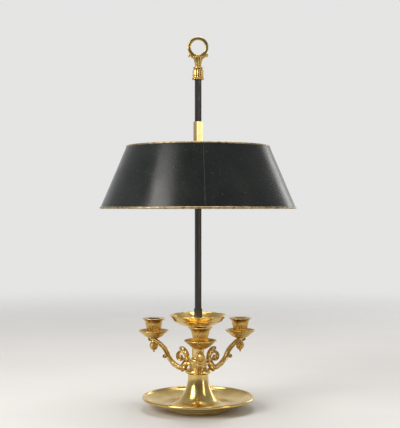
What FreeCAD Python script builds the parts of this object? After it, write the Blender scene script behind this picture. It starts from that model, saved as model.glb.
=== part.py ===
import FreeCAD, Part
import math
import os
import Sketcher

# Bouillotte lamp: a three-light gilt bronze candelabrum with a sheet metal shade that slides on a
# square rod. Millimetres and degrees, +Z up, origin on the table under the rod, the front towards -Y.

Vector = FreeCAD.Vector

# Driving sizes. Each can be changed by itself.
SIZES = (
    # Dish and foot ring
    ("foot_radius", 58.0, "foot ring, outside"),
    ("foot_width", 5.0, "foot ring, across its face"),
    ("foot_height", 5.5, "table to the underside of the dish"),
    ("dish_radius", 98.0, "dish, over its lip"),
    ("dish_wall", 3.0, "dish, thickness of metal"),
    ("dish_rise", 14.2, "underside of the dish to the middle of its lip"),
    ("dish_curve", 75.0, "radius of the dish's curve, underside"),
    ("lip_radius", 2.4, "half-round lip of the dish"),
    # Trumpet foot
    ("trumpet_height", 52.3, "floor of the dish to the collar"),
    ("trumpet_neck_radius", 17.7, "trumpet under the collar"),
    ("trumpet_waist_radius", 29.9, "trumpet where its two curves meet"),
    ("trumpet_waist_height", 11.5, "that place above the floor of the dish"),
    ("trumpet_edge_radius", 50.0, "edge that stands on the dish"),
    ("trumpet_edge", 0.8, "thickness at that edge"),
    ("trumpet_long_curve", 65.3, "radius of the upper curve"),
    ("trumpet_short_curve", 26.7, "radius of the curve that runs out into the dish"),
    ("trumpet_wall", 3.0, "trumpet, thickness of metal"),
    # Collar, drum and neck
    ("collar_radius", 22.8, "collar, outside"),
    ("collar_height", 8.4, "collar, twice its round"),
    ("drum_radius", 15.5, "drum, over its end fillets"),
    ("drum_height", 14.8, "drum, end to end"),
    ("drum_waist", 1.1, "depth of the drum's sunk middle"),
    ("drum_core", 10.2, "cored hexagon inside the drum, centre to flat"),
    ("drum_floor", 2.4, "floor of the drum"),
    ("socket_height", 7.8, "arm socket above the drum's foot"),
    ("socket_depth", 1.5, "arm socket, below the drum's waist"),
    ("neck_height", 57.0, "neck, drum to tray"),
    ("neck_bead_radius", 17.6, "bead at the foot of the neck"),
    ("neck_bead_height", 3.0, "that bead, end to end"),
    ("neck_radius", 10.7, "neck above its bead"),
    ("neck_straight", 22.0, "foot of the neck to the start of its taper"),
    ("neck_top_radius", 7.2, "neck under the tray"),
    ("spigot_depth", 2.0, "spigot of the neck inside the drum"),
    # Drip tray on the rod
    ("tray_radius", 50.0, "tray, over its rim"),
    ("tray_bowl_radius", 41.5, "tray where the bowl turns into the flared band"),
    ("tray_bowl_height", 11.8, "that turn above the tray's foot"),
    ("tray_band_height", 11.0, "flared band"),
    ("tray_curve", 49.0, "radius of the bowl"),
    ("tray_wall", 1.8, "tray, thickness of metal"),
    # Rod
    ("rod_size", 9.0, "square rod, across flats"),
    ("rod_turn", -61.0, "direction that the rod's broad face looks in"),
    ("rod_length", 434.1, "square part of the rod"),
    ("tie_radius", 3.0, "round tie that the rod ends in"),
    ("tie_clearance", 0.2, "round the tie in the pieces that it clamps"),
    ("fit", 0.05, "close fit, each side"),
    ("ferrule_size", 12.6, "square ferrule at the foot of the rod"),
    ("ferrule_height", 30.2, "ferrule, end to end"),
    ("washer_radius", 9.0, "washer under the dish"),
    ("washer_thickness", 1.2, "that washer"),
    ("nut_size", 10.0, "nut, across flats"),
    ("nut_height", 3.0, "nut, end to end"),
    ("tie_end", 0.4, "tie beyond its nut"),
    # Finial and ring handle
    ("petal_radius", 9.75, "petal cup, over its petals"),
    ("petal_lip_radius", 10.75, "rolled lip of the petal cup"),
    ("petal_height", 19.5, "petal cup, end to end"),
    ("petal_recess", 4.0, "the rod's end inside the petal cup"),
    ("petal_count", 8.0, "petals round the cup"),
    ("petal_flute", 1.3, "radius of the flutes between the petals"),
    ("tenon_length", 9.5, "round tenon on top of the rod"),
    ("stud_length", 5.0, "stud of the ring handle in the petal cup"),
    ("finial_bead_radius", 8.6, "bead under the ring handle"),
    ("finial_bead_height", 3.3, "that bead, end to end"),
    ("finial_neck_radius", 5.2, "neck between that bead and the leaves"),
    ("calyx_height", 22.3, "petal cup to the top of the leaves"),
    ("calyx_radius", 10.6, "leaves at their top"),
    ("leaf_thickness", 5.0, "side leaves of the handle, front to back"),
    ("leaf_reach", 16.8, "side leaves, rod's axis to their tips"),
    ("ring_radius", 15.5, "ring handle, centre to the middle of its band"),
    ("ring_band", 5.8, "ring handle, across its band"),
    ("ring_thickness", 5.0, "ring handle, front to back"),
    ("ring_rise", 37.5, "petal cup to the centre of the ring"),
    # Arms
    ("arm_turn", -87.5, "direction of the front arm"),
    ("arm_reach", 89.7, "rod's axis to a candle's axis"),
    ("arm_rise", 28.8, "eye of the scroll to the top of the arm"),
    ("eye_offset", 16.2, "neck's bead to the eye of the scroll"),
    ("eye_rise", 3.7, "top of the drum to the eye of the scroll"),
    ("eye_radius", 3.6, "seed in the eye of the scroll"),
    ("scroll_radius", 11.6, "eye to the middle of the stem where the scroll starts"),
    ("scroll_end", 3.4, "eye to the middle of the stem where the scroll ends"),
    ("stem_depth", 8.4, "stem, measured in the plane of the arm"),
    ("stem_width", 8.4, "stem, side to side"),
    ("sheath_thickness", 2.6, "acanthus leaf under the stem"),
    ("sheath_width", 11.5, "that leaf, side to side"),
    ("curl_radius", 3.3, "rolled tips of the leaves"),
    ("back_leaf_gap", 0.35, "neck's bead to the leaf behind the scroll"),
    ("boss_radius", 4.4, "round boss that seats in the drum"),
    ("end_boss_radius", 5.2, "round boss under the pan"),
    ("end_boss_height", 6.4, "that boss, end to end"),
    ("screw_radius", 1.45, "screws from inside the drum"),
    ("screw_grip", 6.0, "those screws inside the arm"),
    ("screw_head_radius", 2.6, "heads of those screws"),
    ("screw_head", 1.9, "those heads, thickness"),
    # Pans, candle cups and pendants
    ("pan_radius", 27.0, "wax pan, over its rim"),
    ("pan_height", 15.2, "wax pan, foot to rim"),
    ("pan_wall", 1.5, "wax pan, thickness of metal"),
    ("pan_foot_radius", 5.0, "wax pan, flat foot"),
    ("pan_floor", 3.0, "wax pan, metal under the candle cup"),
    ("cup_height", 33.9, "candle cup, end to end"),
    ("cup_foot_radius", 9.0, "candle cup, foot"),
    ("cup_waist_radius", 12.5, "candle cup where its flutes start"),
    ("cup_body_radius", 14.2, "candle cup, top of its body"),
    ("cup_lip_radius", 20.2, "candle cup, over its lip"),
    ("bore_radius", 11.0, "candle bore"),
    ("bore_depth", 20.0, "candle bore"),
    ("flute_count", 12.0, "flutes round a candle cup"),
    ("flute_radius", 1.5, "those flutes"),
    ("bud_radius", 8.2, "pendant bud"),
    ("bud_height", 18.0, "pendant bud, end to end"),
    ("bud_tip_radius", 1.7, "bead at the tip of the bud"),
    ("stud_radius", 2.0, "stud through cup, pan, arm and bud"),
    ("stud_in_bud", 8.0, "that stud inside the bud"),
    ("stud_in_cup", 7.5, "that stud inside the cup"),
    # Shade
    ("shade_rest", 350.9, "table to the middle of the shade's lower bead"),
    ("shade_height", 106.1, "shade, bead to bead"),
    ("shade_bottom_radius", 169.6, "shade at its lower bead, middle of the sheet"),
    ("shade_top_radius", 124.5, "shade at its upper bead, middle of the sheet"),
    ("shade_sheet", 1.1, "sheet of the shade, measured level"),
    ("bottom_bead", 1.9, "radius of the lower bead"),
    ("top_bead", 1.5, "radius of the upper bead"),
    ("seam_angle", 4.0, "lap seam, round the shade"),
    ("seam_step", 0.6, "lap seam, proud of the sheet"),
    ("seam_turn", -86.2, "direction of the lap seam"),
    # Spider, sleeve and thumb screw
    ("slide_clearance", 0.1, "sleeve round the rod, each side"),
    ("sleeve_wall", 1.4, "sleeve, thickness of metal"),
    ("sleeve_length", 73.6, "sleeve, end to end"),
    ("sleeve_drop", 22.0, "foot of the sleeve under the spider's straps"),
    ("strap_drop", 7.0, "top bead to the top of the straps"),
    ("strap_width", 8.0, "spider's straps"),
    ("strap_thickness", 2.0, "spider's straps"),
    ("strap_foot", 14.0, "foot of a strap down the sheet"),
    ("strap_count", 3.0, "spider's straps"),
    ("strap_root", 3.0, "start of a strap inside the hub, out from the sleeve"),
    ("hub_size", 19.0, "spider's hub, across flats"),
    ("hub_height", 10.0, "spider's hub, end to end"),
    ("screw_drop", 14.0, "thumb screw under the top of the straps"),
    ("nose_radius", 4.6, "threaded nose of the sleeve"),
    ("nose_length", 4.5, "that nose"),
    ("thumb_radius", 2.0, "thumb screw"),
    ("thumb_length", 16.0, "thumb screw, pad to wing"),
    ("wing_radius", 5.2, "each lobe of the wing"),
    ("wing_spread", 5.6, "screw's axis to the middle of a lobe"),
    ("wing_thickness", 3.0, "wing"),
    ("wing_collar_radius", 3.6, "collar under the wing"),
    ("pad_thickness", 1.2, "pad between screw and rod"),
)


class Size:
    """A size in millimetres or degrees that carries the sheet formula it comes from."""

    def __init__(self, value, formula):
        self.value = value
        self.formula = formula

    def __add__(self, other):
        other = as_size(other)
        return Size(self.value + other.value, f"({self.formula} + {other.formula})")

    def __sub__(self, other):
        other = as_size(other)
        return Size(self.value - other.value, f"({self.formula} - {other.formula})")

    def __mul__(self, other):
        other = as_size(other)
        return Size(self.value * other.value, f"({self.formula} * {other.formula})")

    def __truediv__(self, other):
        other = as_size(other)
        return Size(self.value / other.value, f"({self.formula} / {other.formula})")

    def __neg__(self):
        return Size(-self.value, f"(0 - {self.formula})")

    def __radd__(self, other):
        return as_size(other) + self

    def __rsub__(self, other):
        return as_size(other) - self

    def __rmul__(self, other):
        return as_size(other) * self


def as_size(number):
    if isinstance(number, Size):
        return number
    return Size(float(number), f"({float(number):.6f})")


class Sheet:
    """The spreadsheet with the driving sizes; each size is an attribute of this object."""

    def __init__(self, document):
        self.cells = document.addObject("Spreadsheet::Sheet", "Sizes")
        for row, (name, value, note) in enumerate(SIZES, start=1):
            self.cells.set(f"A{row}", name)
            self.cells.set(f"B{row}", str(value))
            self.cells.set(f"C{row}", note)
            self.cells.setAlias(f"B{row}", name)
            setattr(self, name, Size(value, f"Sizes.{name}"))


doc = FreeCAD.newDocument("bouillotte_lamp")
size = Sheet(doc)
doc.recompute()

# Levels of the stack that the rod's tie clamps, from the table up.
dish_under = size.foot_height
dish_floor = dish_under + size.dish_wall
collar_foot = dish_floor + size.trumpet_height
drum_foot = collar_foot + size.collar_height
drum_top = drum_foot + size.drum_height
tray_foot = drum_top + size.neck_height
tray_floor = tray_foot + size.tray_wall * 1.9
tray_rim = tray_foot + size.tray_bowl_height + size.tray_band_height
rod_top = tray_floor + size.rod_length
finial_foot = rod_top - size.petal_recess
handle_foot = finial_foot + size.petal_height

# Radii and heights that several pieces share.
tie_hole = size.tie_radius + size.tie_clearance
tie_fit = size.tie_radius + size.fit
socket_level = drum_foot + size.socket_height
socket_floor = size.drum_radius - size.drum_waist - size.socket_depth
socket_radius = size.boss_radius + size.fit * 2
eye_x = size.neck_bead_radius + size.eye_offset
eye_z = drum_top + size.eye_rise
arm_top = eye_z + size.arm_rise
arm_end = arm_top - size.end_boss_height
pan_floor = arm_top + size.pan_floor
pan_rim = arm_top + size.pan_height
cup_rim = pan_floor + size.cup_height
stud_hole = size.stud_radius + size.fit
screw_hole = size.screw_radius + size.fit
shade_top = size.shade_rest + size.shade_height
shade_slope = (size.shade_bottom_radius - size.shade_top_radius) / size.shade_height
strap_top = shade_top - size.strap_drop
sleeve_foot = strap_top - size.sleeve_drop
sleeve_half = size.rod_size / 2 + size.slide_clearance + size.sleeve_wall
screw_level = strap_top - size.screw_drop
arm_spacing = 120.0

# The flats of a bead, in degrees, and the heights of its slot's two lips as shares of its radius.
BEAD_CORNERS = (64, 32, 0, -30, -60, -90, -120, -150, -180, -218)
BEAD_WIDE_LIP = 0.9
BEAD_NARROW_LIP = 0.62
ARM_NAMES = ("front", "right", "left")


class Step:
    """One run of an outline, to the corner (x, y); an arc also has a radius and a turn."""

    def __init__(self, x, y, radius=None, turn=None):
        self.x = as_size(x)
        self.y = as_size(y)
        self.radius = None if radius is None else as_size(radius)
        self.turn = turn

    def corner(self):
        return Vector(self.x.value, self.y.value, 0)


def to(x, y):
    return Step(x, y)


def arc_left(x, y, radius):
    return Step(x, y, radius, "left")


def arc_right(x, y, radius):
    return Step(x, y, radius, "right")


def run_geometry(begin, step):
    """The edge of one step and the vertex numbers of its two ends."""
    end = step.corner()
    if step.radius is None:
        return Part.LineSegment(begin, end), 1, 2
    chord = end - begin
    half = chord.Length / 2
    reach = math.sqrt(max(step.radius.value**2 - half**2, 0.0))
    sideways = Vector(-chord.y, chord.x, 0).normalize()
    if step.turn == "right":
        sideways = sideways * -1
    centre = (begin + end) * 0.5 + sideways * reach
    circle = Part.Circle(centre, Vector(0, 0, 1), step.radius.value)
    start_angle = math.atan2(begin.y - centre.y, begin.x - centre.x)
    end_angle = math.atan2(end.y - centre.y, end.x - centre.x)
    if step.turn == "left":
        return Part.ArcOfCircle(circle, start_angle, end_angle), 1, 2
    return Part.ArcOfCircle(circle, end_angle, start_angle), 2, 1


def bind(sketch, constraints):
    """Adds (constraint, size) pairs and ties each one that has a size to the sheet."""
    numbers = sketch.addConstraint([constraint for constraint, _ in constraints])
    for number, (_, amount) in zip(numbers, constraints):
        if amount is not None and "Sizes." in amount.formula:
            sketch.setExpression(f"Constraints[{number}]", amount.formula)


def draw_outline(sketch, steps):
    """Draws a closed outline through the steps; the first one runs from the last one's corner."""
    runs = []
    for index, step in enumerate(steps):
        geometry, first, last = run_geometry(steps[index - 1].corner(), step)
        runs.append((sketch.addGeometry(geometry), first, last))
    constraints = []
    for index, step in enumerate(steps):
        number, first, last = runs[index]
        before, _, before_last = runs[index - 1]
        joint = Sketcher.Constraint("Coincident", before, before_last, number, first)
        across = Sketcher.Constraint("DistanceX", -1, 1, number, last, step.x.value)
        up = Sketcher.Constraint("DistanceY", -1, 1, number, last, step.y.value)
        constraints += [(joint, None), (across, step.x), (up, step.y)]
        if step.radius is not None:
            bend = Sketcher.Constraint("Radius", number, step.radius.value)
            constraints.append((bend, step.radius))
    bind(sketch, constraints)


def draw_circle(sketch, x, y, radius):
    x, y, radius = as_size(x), as_size(y), as_size(radius)
    centre = Vector(x.value, y.value, 0)
    number = sketch.addGeometry(Part.Circle(centre, Vector(0, 0, 1), radius.value))
    across = Sketcher.Constraint("DistanceX", -1, 1, number, 3, x.value)
    up = Sketcher.Constraint("DistanceY", -1, 1, number, 3, y.value)
    bend = Sketcher.Constraint("Radius", number, radius.value)
    bind(sketch, [(across, x), (up, y), (bend, radius)])


def draw_square(sketch, half):
    draw_outline(sketch, [to(-half, -half), to(half, -half), to(half, half), to(-half, half)])


def draw_hexagon(sketch, flat):
    """A hexagon with a flat towards +X, given from its centre to a flat."""
    point = flat * (2 / math.sqrt(3))
    draw_outline(
        sketch,
        [
            to(0, -point),
            to(flat, -point / 2),
            to(flat, point / 2),
            to(0, point),
            to(-flat, point / 2),
            to(-flat, -point / 2),
        ],
    )


def new_body(label):
    body = doc.addObject("PartDesign::Body", label)
    body.Label = label
    return body


def new_sketch(body, plane, offset=None):
    """A sketch on one of the body's own planes, moved along the plane's normal."""
    sketch = body.newObject("Sketcher::SketchObject", f"{body.Name}_{plane}_sketch")
    faces = [item for item in body.Origin.OriginFeatures if item.Role == f"{plane}_Plane"]
    sketch.AttachmentSupport = (faces[0], [""])
    sketch.MapMode = "FlatFace"
    if offset is not None:
        offset = as_size(offset)
        sketch.AttachmentOffset = FreeCAD.Placement(Vector(0, 0, offset.value), FreeCAD.Rotation())
        sketch.setExpression("AttachmentOffset.Base.z", offset.formula)
    return sketch


def body_axis(body, role):
    return [item for item in body.Origin.OriginFeatures if item.Role == role][0]


def turned(body, steps, cut=False):
    """Turns an outline round the body's Z axis, as new metal or as a groove."""
    sketch = new_sketch(body, "XZ")
    draw_outline(sketch, steps)
    kind = "Groove" if cut else "Revolution"
    feature = body.newObject(f"PartDesign::{kind}", f"{body.Name}_{kind}")
    feature.Profile = (sketch, [""])
    feature.ReferenceAxis = (sketch, ["V_Axis"])
    feature.Angle = 360
    doc.recompute()
    return feature


def padded(body, sketch, length, centred=False, backwards=False):
    feature = body.newObject("PartDesign::Pad", f"{body.Name}_pad")
    feature.Profile = (sketch, [""])
    length = as_size(length)
    feature.Length = length.value
    feature.setExpression("Length", length.formula)
    feature.SideType = "Symmetric" if centred else "One side"
    feature.Reversed = backwards
    return feature


def pocketed(body, sketch, length=None, onwards=False):
    """Cuts a sketch into the body, through all of it where no length is given."""
    doc.recompute()
    before = body.Shape.Volume
    feature = body.newObject("PartDesign::Pocket", f"{body.Name}_pocket")
    feature.Profile = (sketch, [""])
    feature.Reversed = onwards
    if length is None:
        feature.Type = "ThroughAll"
    else:
        length = as_size(length)
        feature.Length = length.value
        feature.setExpression("Length", length.formula)
    doc.recompute()
    if body.Shape.Volume >= before:
        raise RuntimeError(f"{body.Label}: a pocket cut nothing")
    return feature


def patterned(body, features, count, role="Z_Axis"):
    pattern = body.newObject("PartDesign::PolarPattern", f"{body.Name}_pattern")
    pattern.Originals = features
    pattern.Axis = (body_axis(body, role), [""])
    pattern.Angle = 360
    count = as_size(count)
    pattern.Occurrences = int(count.value)
    if "Sizes." in count.formula:
        pattern.setExpression("Occurrences", count.formula)
    body.Tip = pattern
    doc.recompute()
    return pattern


def stand(piece, reach=0.0, turn=0.0):
    """Places a piece at a distance from the rod's axis, in a direction and turned that way."""
    reach, turn = as_size(reach), as_size(turn)
    angle = math.radians(turn.value)
    spot = Vector(reach.value * math.cos(angle), reach.value * math.sin(angle), 0)
    piece.Placement = FreeCAD.Placement(spot, FreeCAD.Rotation(Vector(0, 0, 1), turn.value))
    piece.setExpression("Placement.Base.x", f"{reach.formula} * cos({turn.formula} * 1deg)")
    piece.setExpression("Placement.Base.y", f"{reach.formula} * sin({turn.formula} * 1deg)")
    piece.setExpression("Placement.Rotation.Angle", f"{turn.formula} * 1deg")


def arm_direction(number):
    return size.arm_turn + number * arm_spacing


# Foot and dish


def make_foot_ring():
    body = new_body("foot_ring")
    inner = size.foot_radius - size.foot_width
    ease = 0.6
    turned(
        body,
        [
            to(inner, ease),
            to(inner + ease, 0),
            to(size.foot_radius - ease, 0),
            to(size.foot_radius, ease),
            to(size.foot_radius, dish_under),
            to(inner, dish_under),
        ],
    )
    return body


def make_base_dish():
    """A shallow dish with a half-round lip that stands proud of the inside."""
    body = new_body("base_dish")
    flat = size.foot_radius + 2
    lip_x = size.dish_radius - size.lip_radius
    lip_z = dish_under + size.dish_rise
    turned(
        body,
        [
            to(tie_hole, dish_under),
            to(flat, dish_under),
            arc_left(lip_x, lip_z - size.lip_radius, size.dish_curve),
            arc_left(size.dish_radius, lip_z, size.lip_radius),
            arc_left(lip_x, lip_z + size.lip_radius, size.lip_radius),
            arc_left(lip_x - size.lip_radius, lip_z, size.lip_radius),
            arc_right(flat, dish_floor, size.dish_curve - size.dish_wall),
            to(tie_hole, dish_floor),
        ],
    )
    return body


def make_trumpet_foot():
    """Hollow flared foot: a long curve under the collar runs out in a short one on the dish."""
    body = new_body("trumpet_foot")
    neck = size.trumpet_neck_radius
    waist_z = dish_floor + size.trumpet_waist_height
    inner_x = size.trumpet_waist_radius - size.trumpet_wall * 0.81
    inner_z = waist_z - size.trumpet_wall * 0.58
    shoulder = collar_foot - size.trumpet_wall
    turned(
        body,
        [
            to(tie_hole, shoulder),
            to(neck - size.trumpet_wall, shoulder),
            arc_left(inner_x, inner_z, size.trumpet_long_curve + size.trumpet_wall),
            to(size.trumpet_edge_radius * 0.8, dish_floor),
            to(size.trumpet_edge_radius, dish_floor),
            to(size.trumpet_edge_radius, dish_floor + size.trumpet_edge),
            arc_right(size.trumpet_waist_radius, waist_z, size.trumpet_short_curve),
            arc_right(neck, shoulder, size.trumpet_long_curve),
            to(neck, collar_foot),
            to(tie_hole, collar_foot),
        ],
    )
    return body


# Collar, drum, neck and tray


def make_collar():
    body = new_body("collar_ring")
    round_radius = size.collar_height / 2
    round_x = size.collar_radius - round_radius
    turned(
        body,
        [
            to(tie_hole, collar_foot),
            to(round_x, collar_foot),
            arc_left(size.collar_radius, collar_foot + round_radius, round_radius),
            arc_left(round_x, drum_foot, round_radius),
            to(tie_hole, drum_foot),
        ],
    )
    return body


def make_drum():
    """Cored drum with a fillet at each end and three flat-bottomed sockets for the arms."""
    body = new_body("drum")
    waist = size.drum_radius - size.drum_waist
    fillet = 1.6
    turned(
        body,
        [
            to(tie_hole, drum_foot),
            to(size.drum_radius, drum_foot),
            to(size.drum_radius, drum_foot + fillet),
            to(waist, drum_foot + fillet + size.drum_waist),
            to(waist, drum_top - fillet - size.drum_waist),
            to(size.drum_radius, drum_top - fillet),
            to(size.drum_radius, drum_top),
            to(tie_hole, drum_top),
        ],
    )
    core = new_sketch(body, "XY", drum_top)
    draw_hexagon(core, size.drum_core)
    pocketed(body, core, size.drum_height - size.drum_floor)
    seat = new_sketch(body, "YZ", socket_floor)
    draw_circle(seat, 0, socket_level, socket_radius)
    seat_cut = pocketed(body, seat, onwards=True)
    hole = new_sketch(body, "YZ", 0)
    draw_circle(hole, 0, socket_level, screw_hole + size.fit)
    hole_cut = pocketed(body, hole, onwards=True)
    patterned(body, [seat_cut, hole_cut], len(ARM_NAMES))
    stand(body, turn=size.arm_turn)
    return body


def make_neck():
    body = new_body("neck")
    bead = size.neck_bead_height / 2
    bead_x = size.neck_bead_radius - bead
    cove = 3.2
    cap = 1.4
    bead_top = drum_top + size.neck_bead_height
    turned(
        body,
        [
            to(tie_hole, drum_top - size.spigot_depth),
            to(size.drum_core - size.fit * 4, drum_top - size.spigot_depth),
            to(size.drum_core - size.fit * 4, drum_top),
            to(bead_x, drum_top),
            arc_left(size.neck_bead_radius, drum_top + bead, bead),
            arc_left(bead_x, bead_top, bead),
            to(size.neck_radius + cove, bead_top),
            arc_right(size.neck_radius, bead_top + cove, cove),
            to(size.neck_radius, drum_top + size.neck_straight),
            to(size.neck_top_radius, tray_foot - cap * 2),
            to(size.neck_top_radius + cap, tray_foot - cap),
            to(size.neck_top_radius + cap, tray_foot),
            to(tie_hole, tray_foot),
        ],
    )
    return body


def make_drip_tray():
    """Shallow bowl with a flared band, standing on the neck."""
    body = new_body("drip_tray")
    foot = size.neck_top_radius + 1.4
    bowl_z = tray_foot + size.tray_bowl_height
    wall = size.tray_wall
    ease = wall / 2
    flare = (size.tray_radius - size.tray_bowl_radius) / size.tray_band_height
    turned(
        body,
        [
            to(tie_hole, tray_foot),
            to(foot, tray_foot),
            to(foot + wall, tray_foot + wall * 0.8),
            arc_left(size.tray_bowl_radius, bowl_z, size.tray_curve),
            to(size.tray_radius, tray_rim - ease),
            arc_left(size.tray_radius - ease, tray_rim, ease),
            arc_left(size.tray_radius - wall, tray_rim - ease, ease),
            to(size.tray_bowl_radius - wall + flare, bowl_z + 1),
            arc_right(foot + wall, tray_floor, size.tray_curve - wall),
            to(tie_hole, tray_floor),
        ],
    )
    return body


# Rod with what screws to its two ends


def make_rod():
    """Square rod with a round tie below, through the stack, and a tenon above."""
    body = new_body("rod")
    square = new_sketch(body, "XY", tray_floor)
    draw_square(square, size.rod_size / 2)
    padded(body, square, size.rod_length)
    nut_foot = dish_under - size.washer_thickness - size.nut_height
    tie = new_sketch(body, "XY", nut_foot - size.tie_end)
    draw_circle(tie, 0, 0, size.tie_radius)
    padded(body, tie, tray_floor - nut_foot + size.tie_end)
    tenon = new_sketch(body, "XY", rod_top)
    draw_circle(tenon, 0, 0, size.tie_radius)
    padded(body, tenon, size.tenon_length)
    stand(body, turn=size.rod_turn)
    return body


def make_ferrule():
    body = new_body("rod_ferrule")
    sketch = new_sketch(body, "XY", tray_floor)
    draw_square(sketch, size.ferrule_size / 2)
    draw_square(sketch, size.rod_size / 2 + size.fit)
    padded(body, sketch, size.ferrule_height)
    stand(body, turn=size.rod_turn)
    return body


def make_washer():
    body = new_body("base_washer")
    sketch = new_sketch(body, "XY", dish_under - size.washer_thickness)
    draw_circle(sketch, 0, 0, size.washer_radius)
    draw_circle(sketch, 0, 0, tie_fit)
    padded(body, sketch, size.washer_thickness)
    return body


def make_nut():
    body = new_body("base_nut")
    sketch = new_sketch(body, "XY", dish_under - size.washer_thickness - size.nut_height)
    draw_hexagon(sketch, size.nut_size / 2)
    draw_circle(sketch, 0, 0, tie_fit)
    padded(body, sketch, size.nut_height)
    return body


def make_finial_cup():
    """Cup of petals with flutes between them; the rod stands in its recess."""
    body = new_body("finial_cup")
    recess = size.rod_size * 0.75
    petal = size.petal_radius
    lip = size.petal_lip_radius
    turned(
        body,
        [
            to(recess, finial_foot),
            to(lip - 1.1, finial_foot),
            arc_left(lip, finial_foot + 1.1, 1.1),
            arc_left(lip - 1.1, finial_foot + 2.2, 1.1),
            arc_right(petal - 0.4, finial_foot + 5, 5),
            arc_left(petal - 0.7, handle_foot - 1.5, size.petal_height * 2),
            to(petal - 1.4, handle_foot),
            to(tie_fit, handle_foot),
            to(tie_fit, rod_top),
            to(recess, rod_top),
        ],
    )
    flute = new_sketch(body, "XY", finial_foot + 2.2)
    draw_circle(flute, petal + size.petal_flute * 0.45, 0, size.petal_flute)
    cut = pocketed(body, flute, size.petal_height - 4.5, onwards=True)
    patterned(body, [cut], size.petal_count)
    stand(body, turn=size.rod_turn)
    return body


def make_ring_handle():
    """Stud, bead and leaves turned in one with the upright ring that the lamp is lifted by."""
    body = new_body("ring_handle")
    bead = size.finial_bead_height / 2
    bead_x = size.finial_bead_radius - bead
    bead_top = handle_foot + size.finial_bead_height
    neck_z = bead_top + 3
    calyx_top = handle_foot + size.calyx_height
    ring_z = handle_foot + size.ring_rise
    turned(
        body,
        [
            to(0, handle_foot - size.stud_length),
            to(size.tie_radius, handle_foot - size.stud_length),
            to(size.tie_radius, handle_foot),
            to(bead_x, handle_foot),
            arc_left(size.finial_bead_radius, handle_foot + bead, bead),
            arc_left(bead_x, bead_top, bead),
            to(size.finial_neck_radius + 1, bead_top),
            arc_right(size.finial_neck_radius, neck_z, 4),
            arc_right(size.calyx_radius - 1, calyx_top - 1.5, 30),
            arc_left(size.calyx_radius - 3, calyx_top, 2),
            to(0, calyx_top),
        ],
    )
    leaves = new_sketch(body, "XZ")
    tip = size.leaf_reach
    root = size.finial_neck_radius + 1.5
    for side in (1, -1):
        bend, back = (arc_left, arc_right) if side > 0 else (arc_right, arc_left)
        draw_outline(
            leaves,
            [
                to(side * root, neck_z + 5),
                back(side * (tip - 4), calyx_top - 4, 30),
                bend(side * (tip - 0.6), calyx_top - 4.4, 4),
                bend(side * tip, calyx_top + 3, 6),
                back(side * (root + 3), calyx_top + 2, size.ring_radius + 3),
                to(side * root, calyx_top),
            ],
        )
    padded(body, leaves, size.leaf_thickness, centred=True)
    # The ring's section is a band with a ridge on its outer and inner side.
    band = new_sketch(body, "XY", ring_z)
    half_band = size.ring_band / 2
    half_depth = size.ring_thickness / 2
    draw_outline(
        band,
        [
            to(size.ring_radius - half_band, 0),
            to(size.ring_radius - half_band * 0.6, -half_depth),
            to(size.ring_radius + half_band * 0.4, -half_depth),
            to(size.ring_radius + half_band, -half_depth * 0.3),
            to(size.ring_radius + half_band, half_depth * 0.3),
            to(size.ring_radius + half_band * 0.4, half_depth),
            to(size.ring_radius - half_band * 0.6, half_depth),
        ],
    )
    ring = body.newObject("PartDesign::Revolution", "ring_handle_ring")
    ring.Profile = (band, [""])
    ring.ReferenceAxis = (band, ["V_Axis"])
    ring.Angle = 360
    return body


# Arms: a ridged stem that winds up into a scroll, dressed with acanthus leaves


def plane_point(x, z):
    return Vector(x, 0, z)


def stem_path():
    """Middle line of the stem in the arm's own plane, from under the pan to the eye of the scroll."""
    x, z = eye_x.value, eye_z.value
    stretch = (size.arm_reach.value - x) / 55.9
    lift = (arm_top.value - z) / 28.8
    guide = [
        plane_point(size.arm_reach.value, arm_end.value + size.end_boss_height.value * 0.53),
        plane_point(x + 49.6 * stretch, z + 25.0 * lift),
        plane_point(x + 32.5 * stretch, z + 11.3 * lift),
        plane_point(x + 23.0 * stretch, z - 4.0),
        plane_point(x + 11.8, z - 14.4),
        plane_point(x - 0.6, z - 17.6),
    ]
    start_angle = math.radians(195.0)
    scroll_start = size.scroll_radius.value
    guide.append(
        plane_point(x + scroll_start * math.cos(start_angle), z + scroll_start * math.sin(start_angle))
    )
    curve = Part.BSplineCurve()
    curve.interpolate(guide)
    stem = curve.discretize(Number=15)
    turns = 12
    scroll = []
    for number in range(1, turns + 1):
        share = number / turns
        angle = start_angle - share * 2 * math.pi
        radius = scroll_start + (size.scroll_end.value - scroll_start) * share
        scroll.append(plane_point(x + radius * math.cos(angle), z + radius * math.sin(angle)))
    return stem, scroll


def path_frame(path, index):
    """Direction along the path and the direction away from the inside of its bend."""
    along = path[min(index + 1, len(path) - 1)] - path[max(index - 1, 0)]
    along.normalize()
    return along, Vector(-along.z, 0, along.x)


def lofted(path, sections):
    """Solid through one section at each point of the path; a section lists (outward, sideways)."""
    wires = []
    for index, (point, section) in enumerate(zip(path, sections)):
        _, outward = path_frame(path, index)
        corners = [point + outward * out + Vector(0, side, 0) for out, side in section]
        wires.append(Part.makePolygon(corners + corners[:1]))
    solid = Part.makeLoft(wires, True, True)
    if not solid.isValid() or solid.Volume <= 0:
        raise RuntimeError("a loft of the arm failed")
    return solid


def ridged_section(depth, width):
    """Twelve-sided bar with a channel down each side."""
    half_depth, half_width = depth / 2, width / 2
    one_side = [
        (half_depth, half_width * 0.45),
        (half_depth * 0.7, half_width),
        (half_depth * 0.26, half_width * 0.78),
        (-half_depth * 0.26, half_width * 0.78),
        (-half_depth * 0.7, half_width),
        (-half_depth, half_width * 0.45),
    ]
    return one_side + [(out, -side) for out, side in reversed(one_side)]


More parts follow.
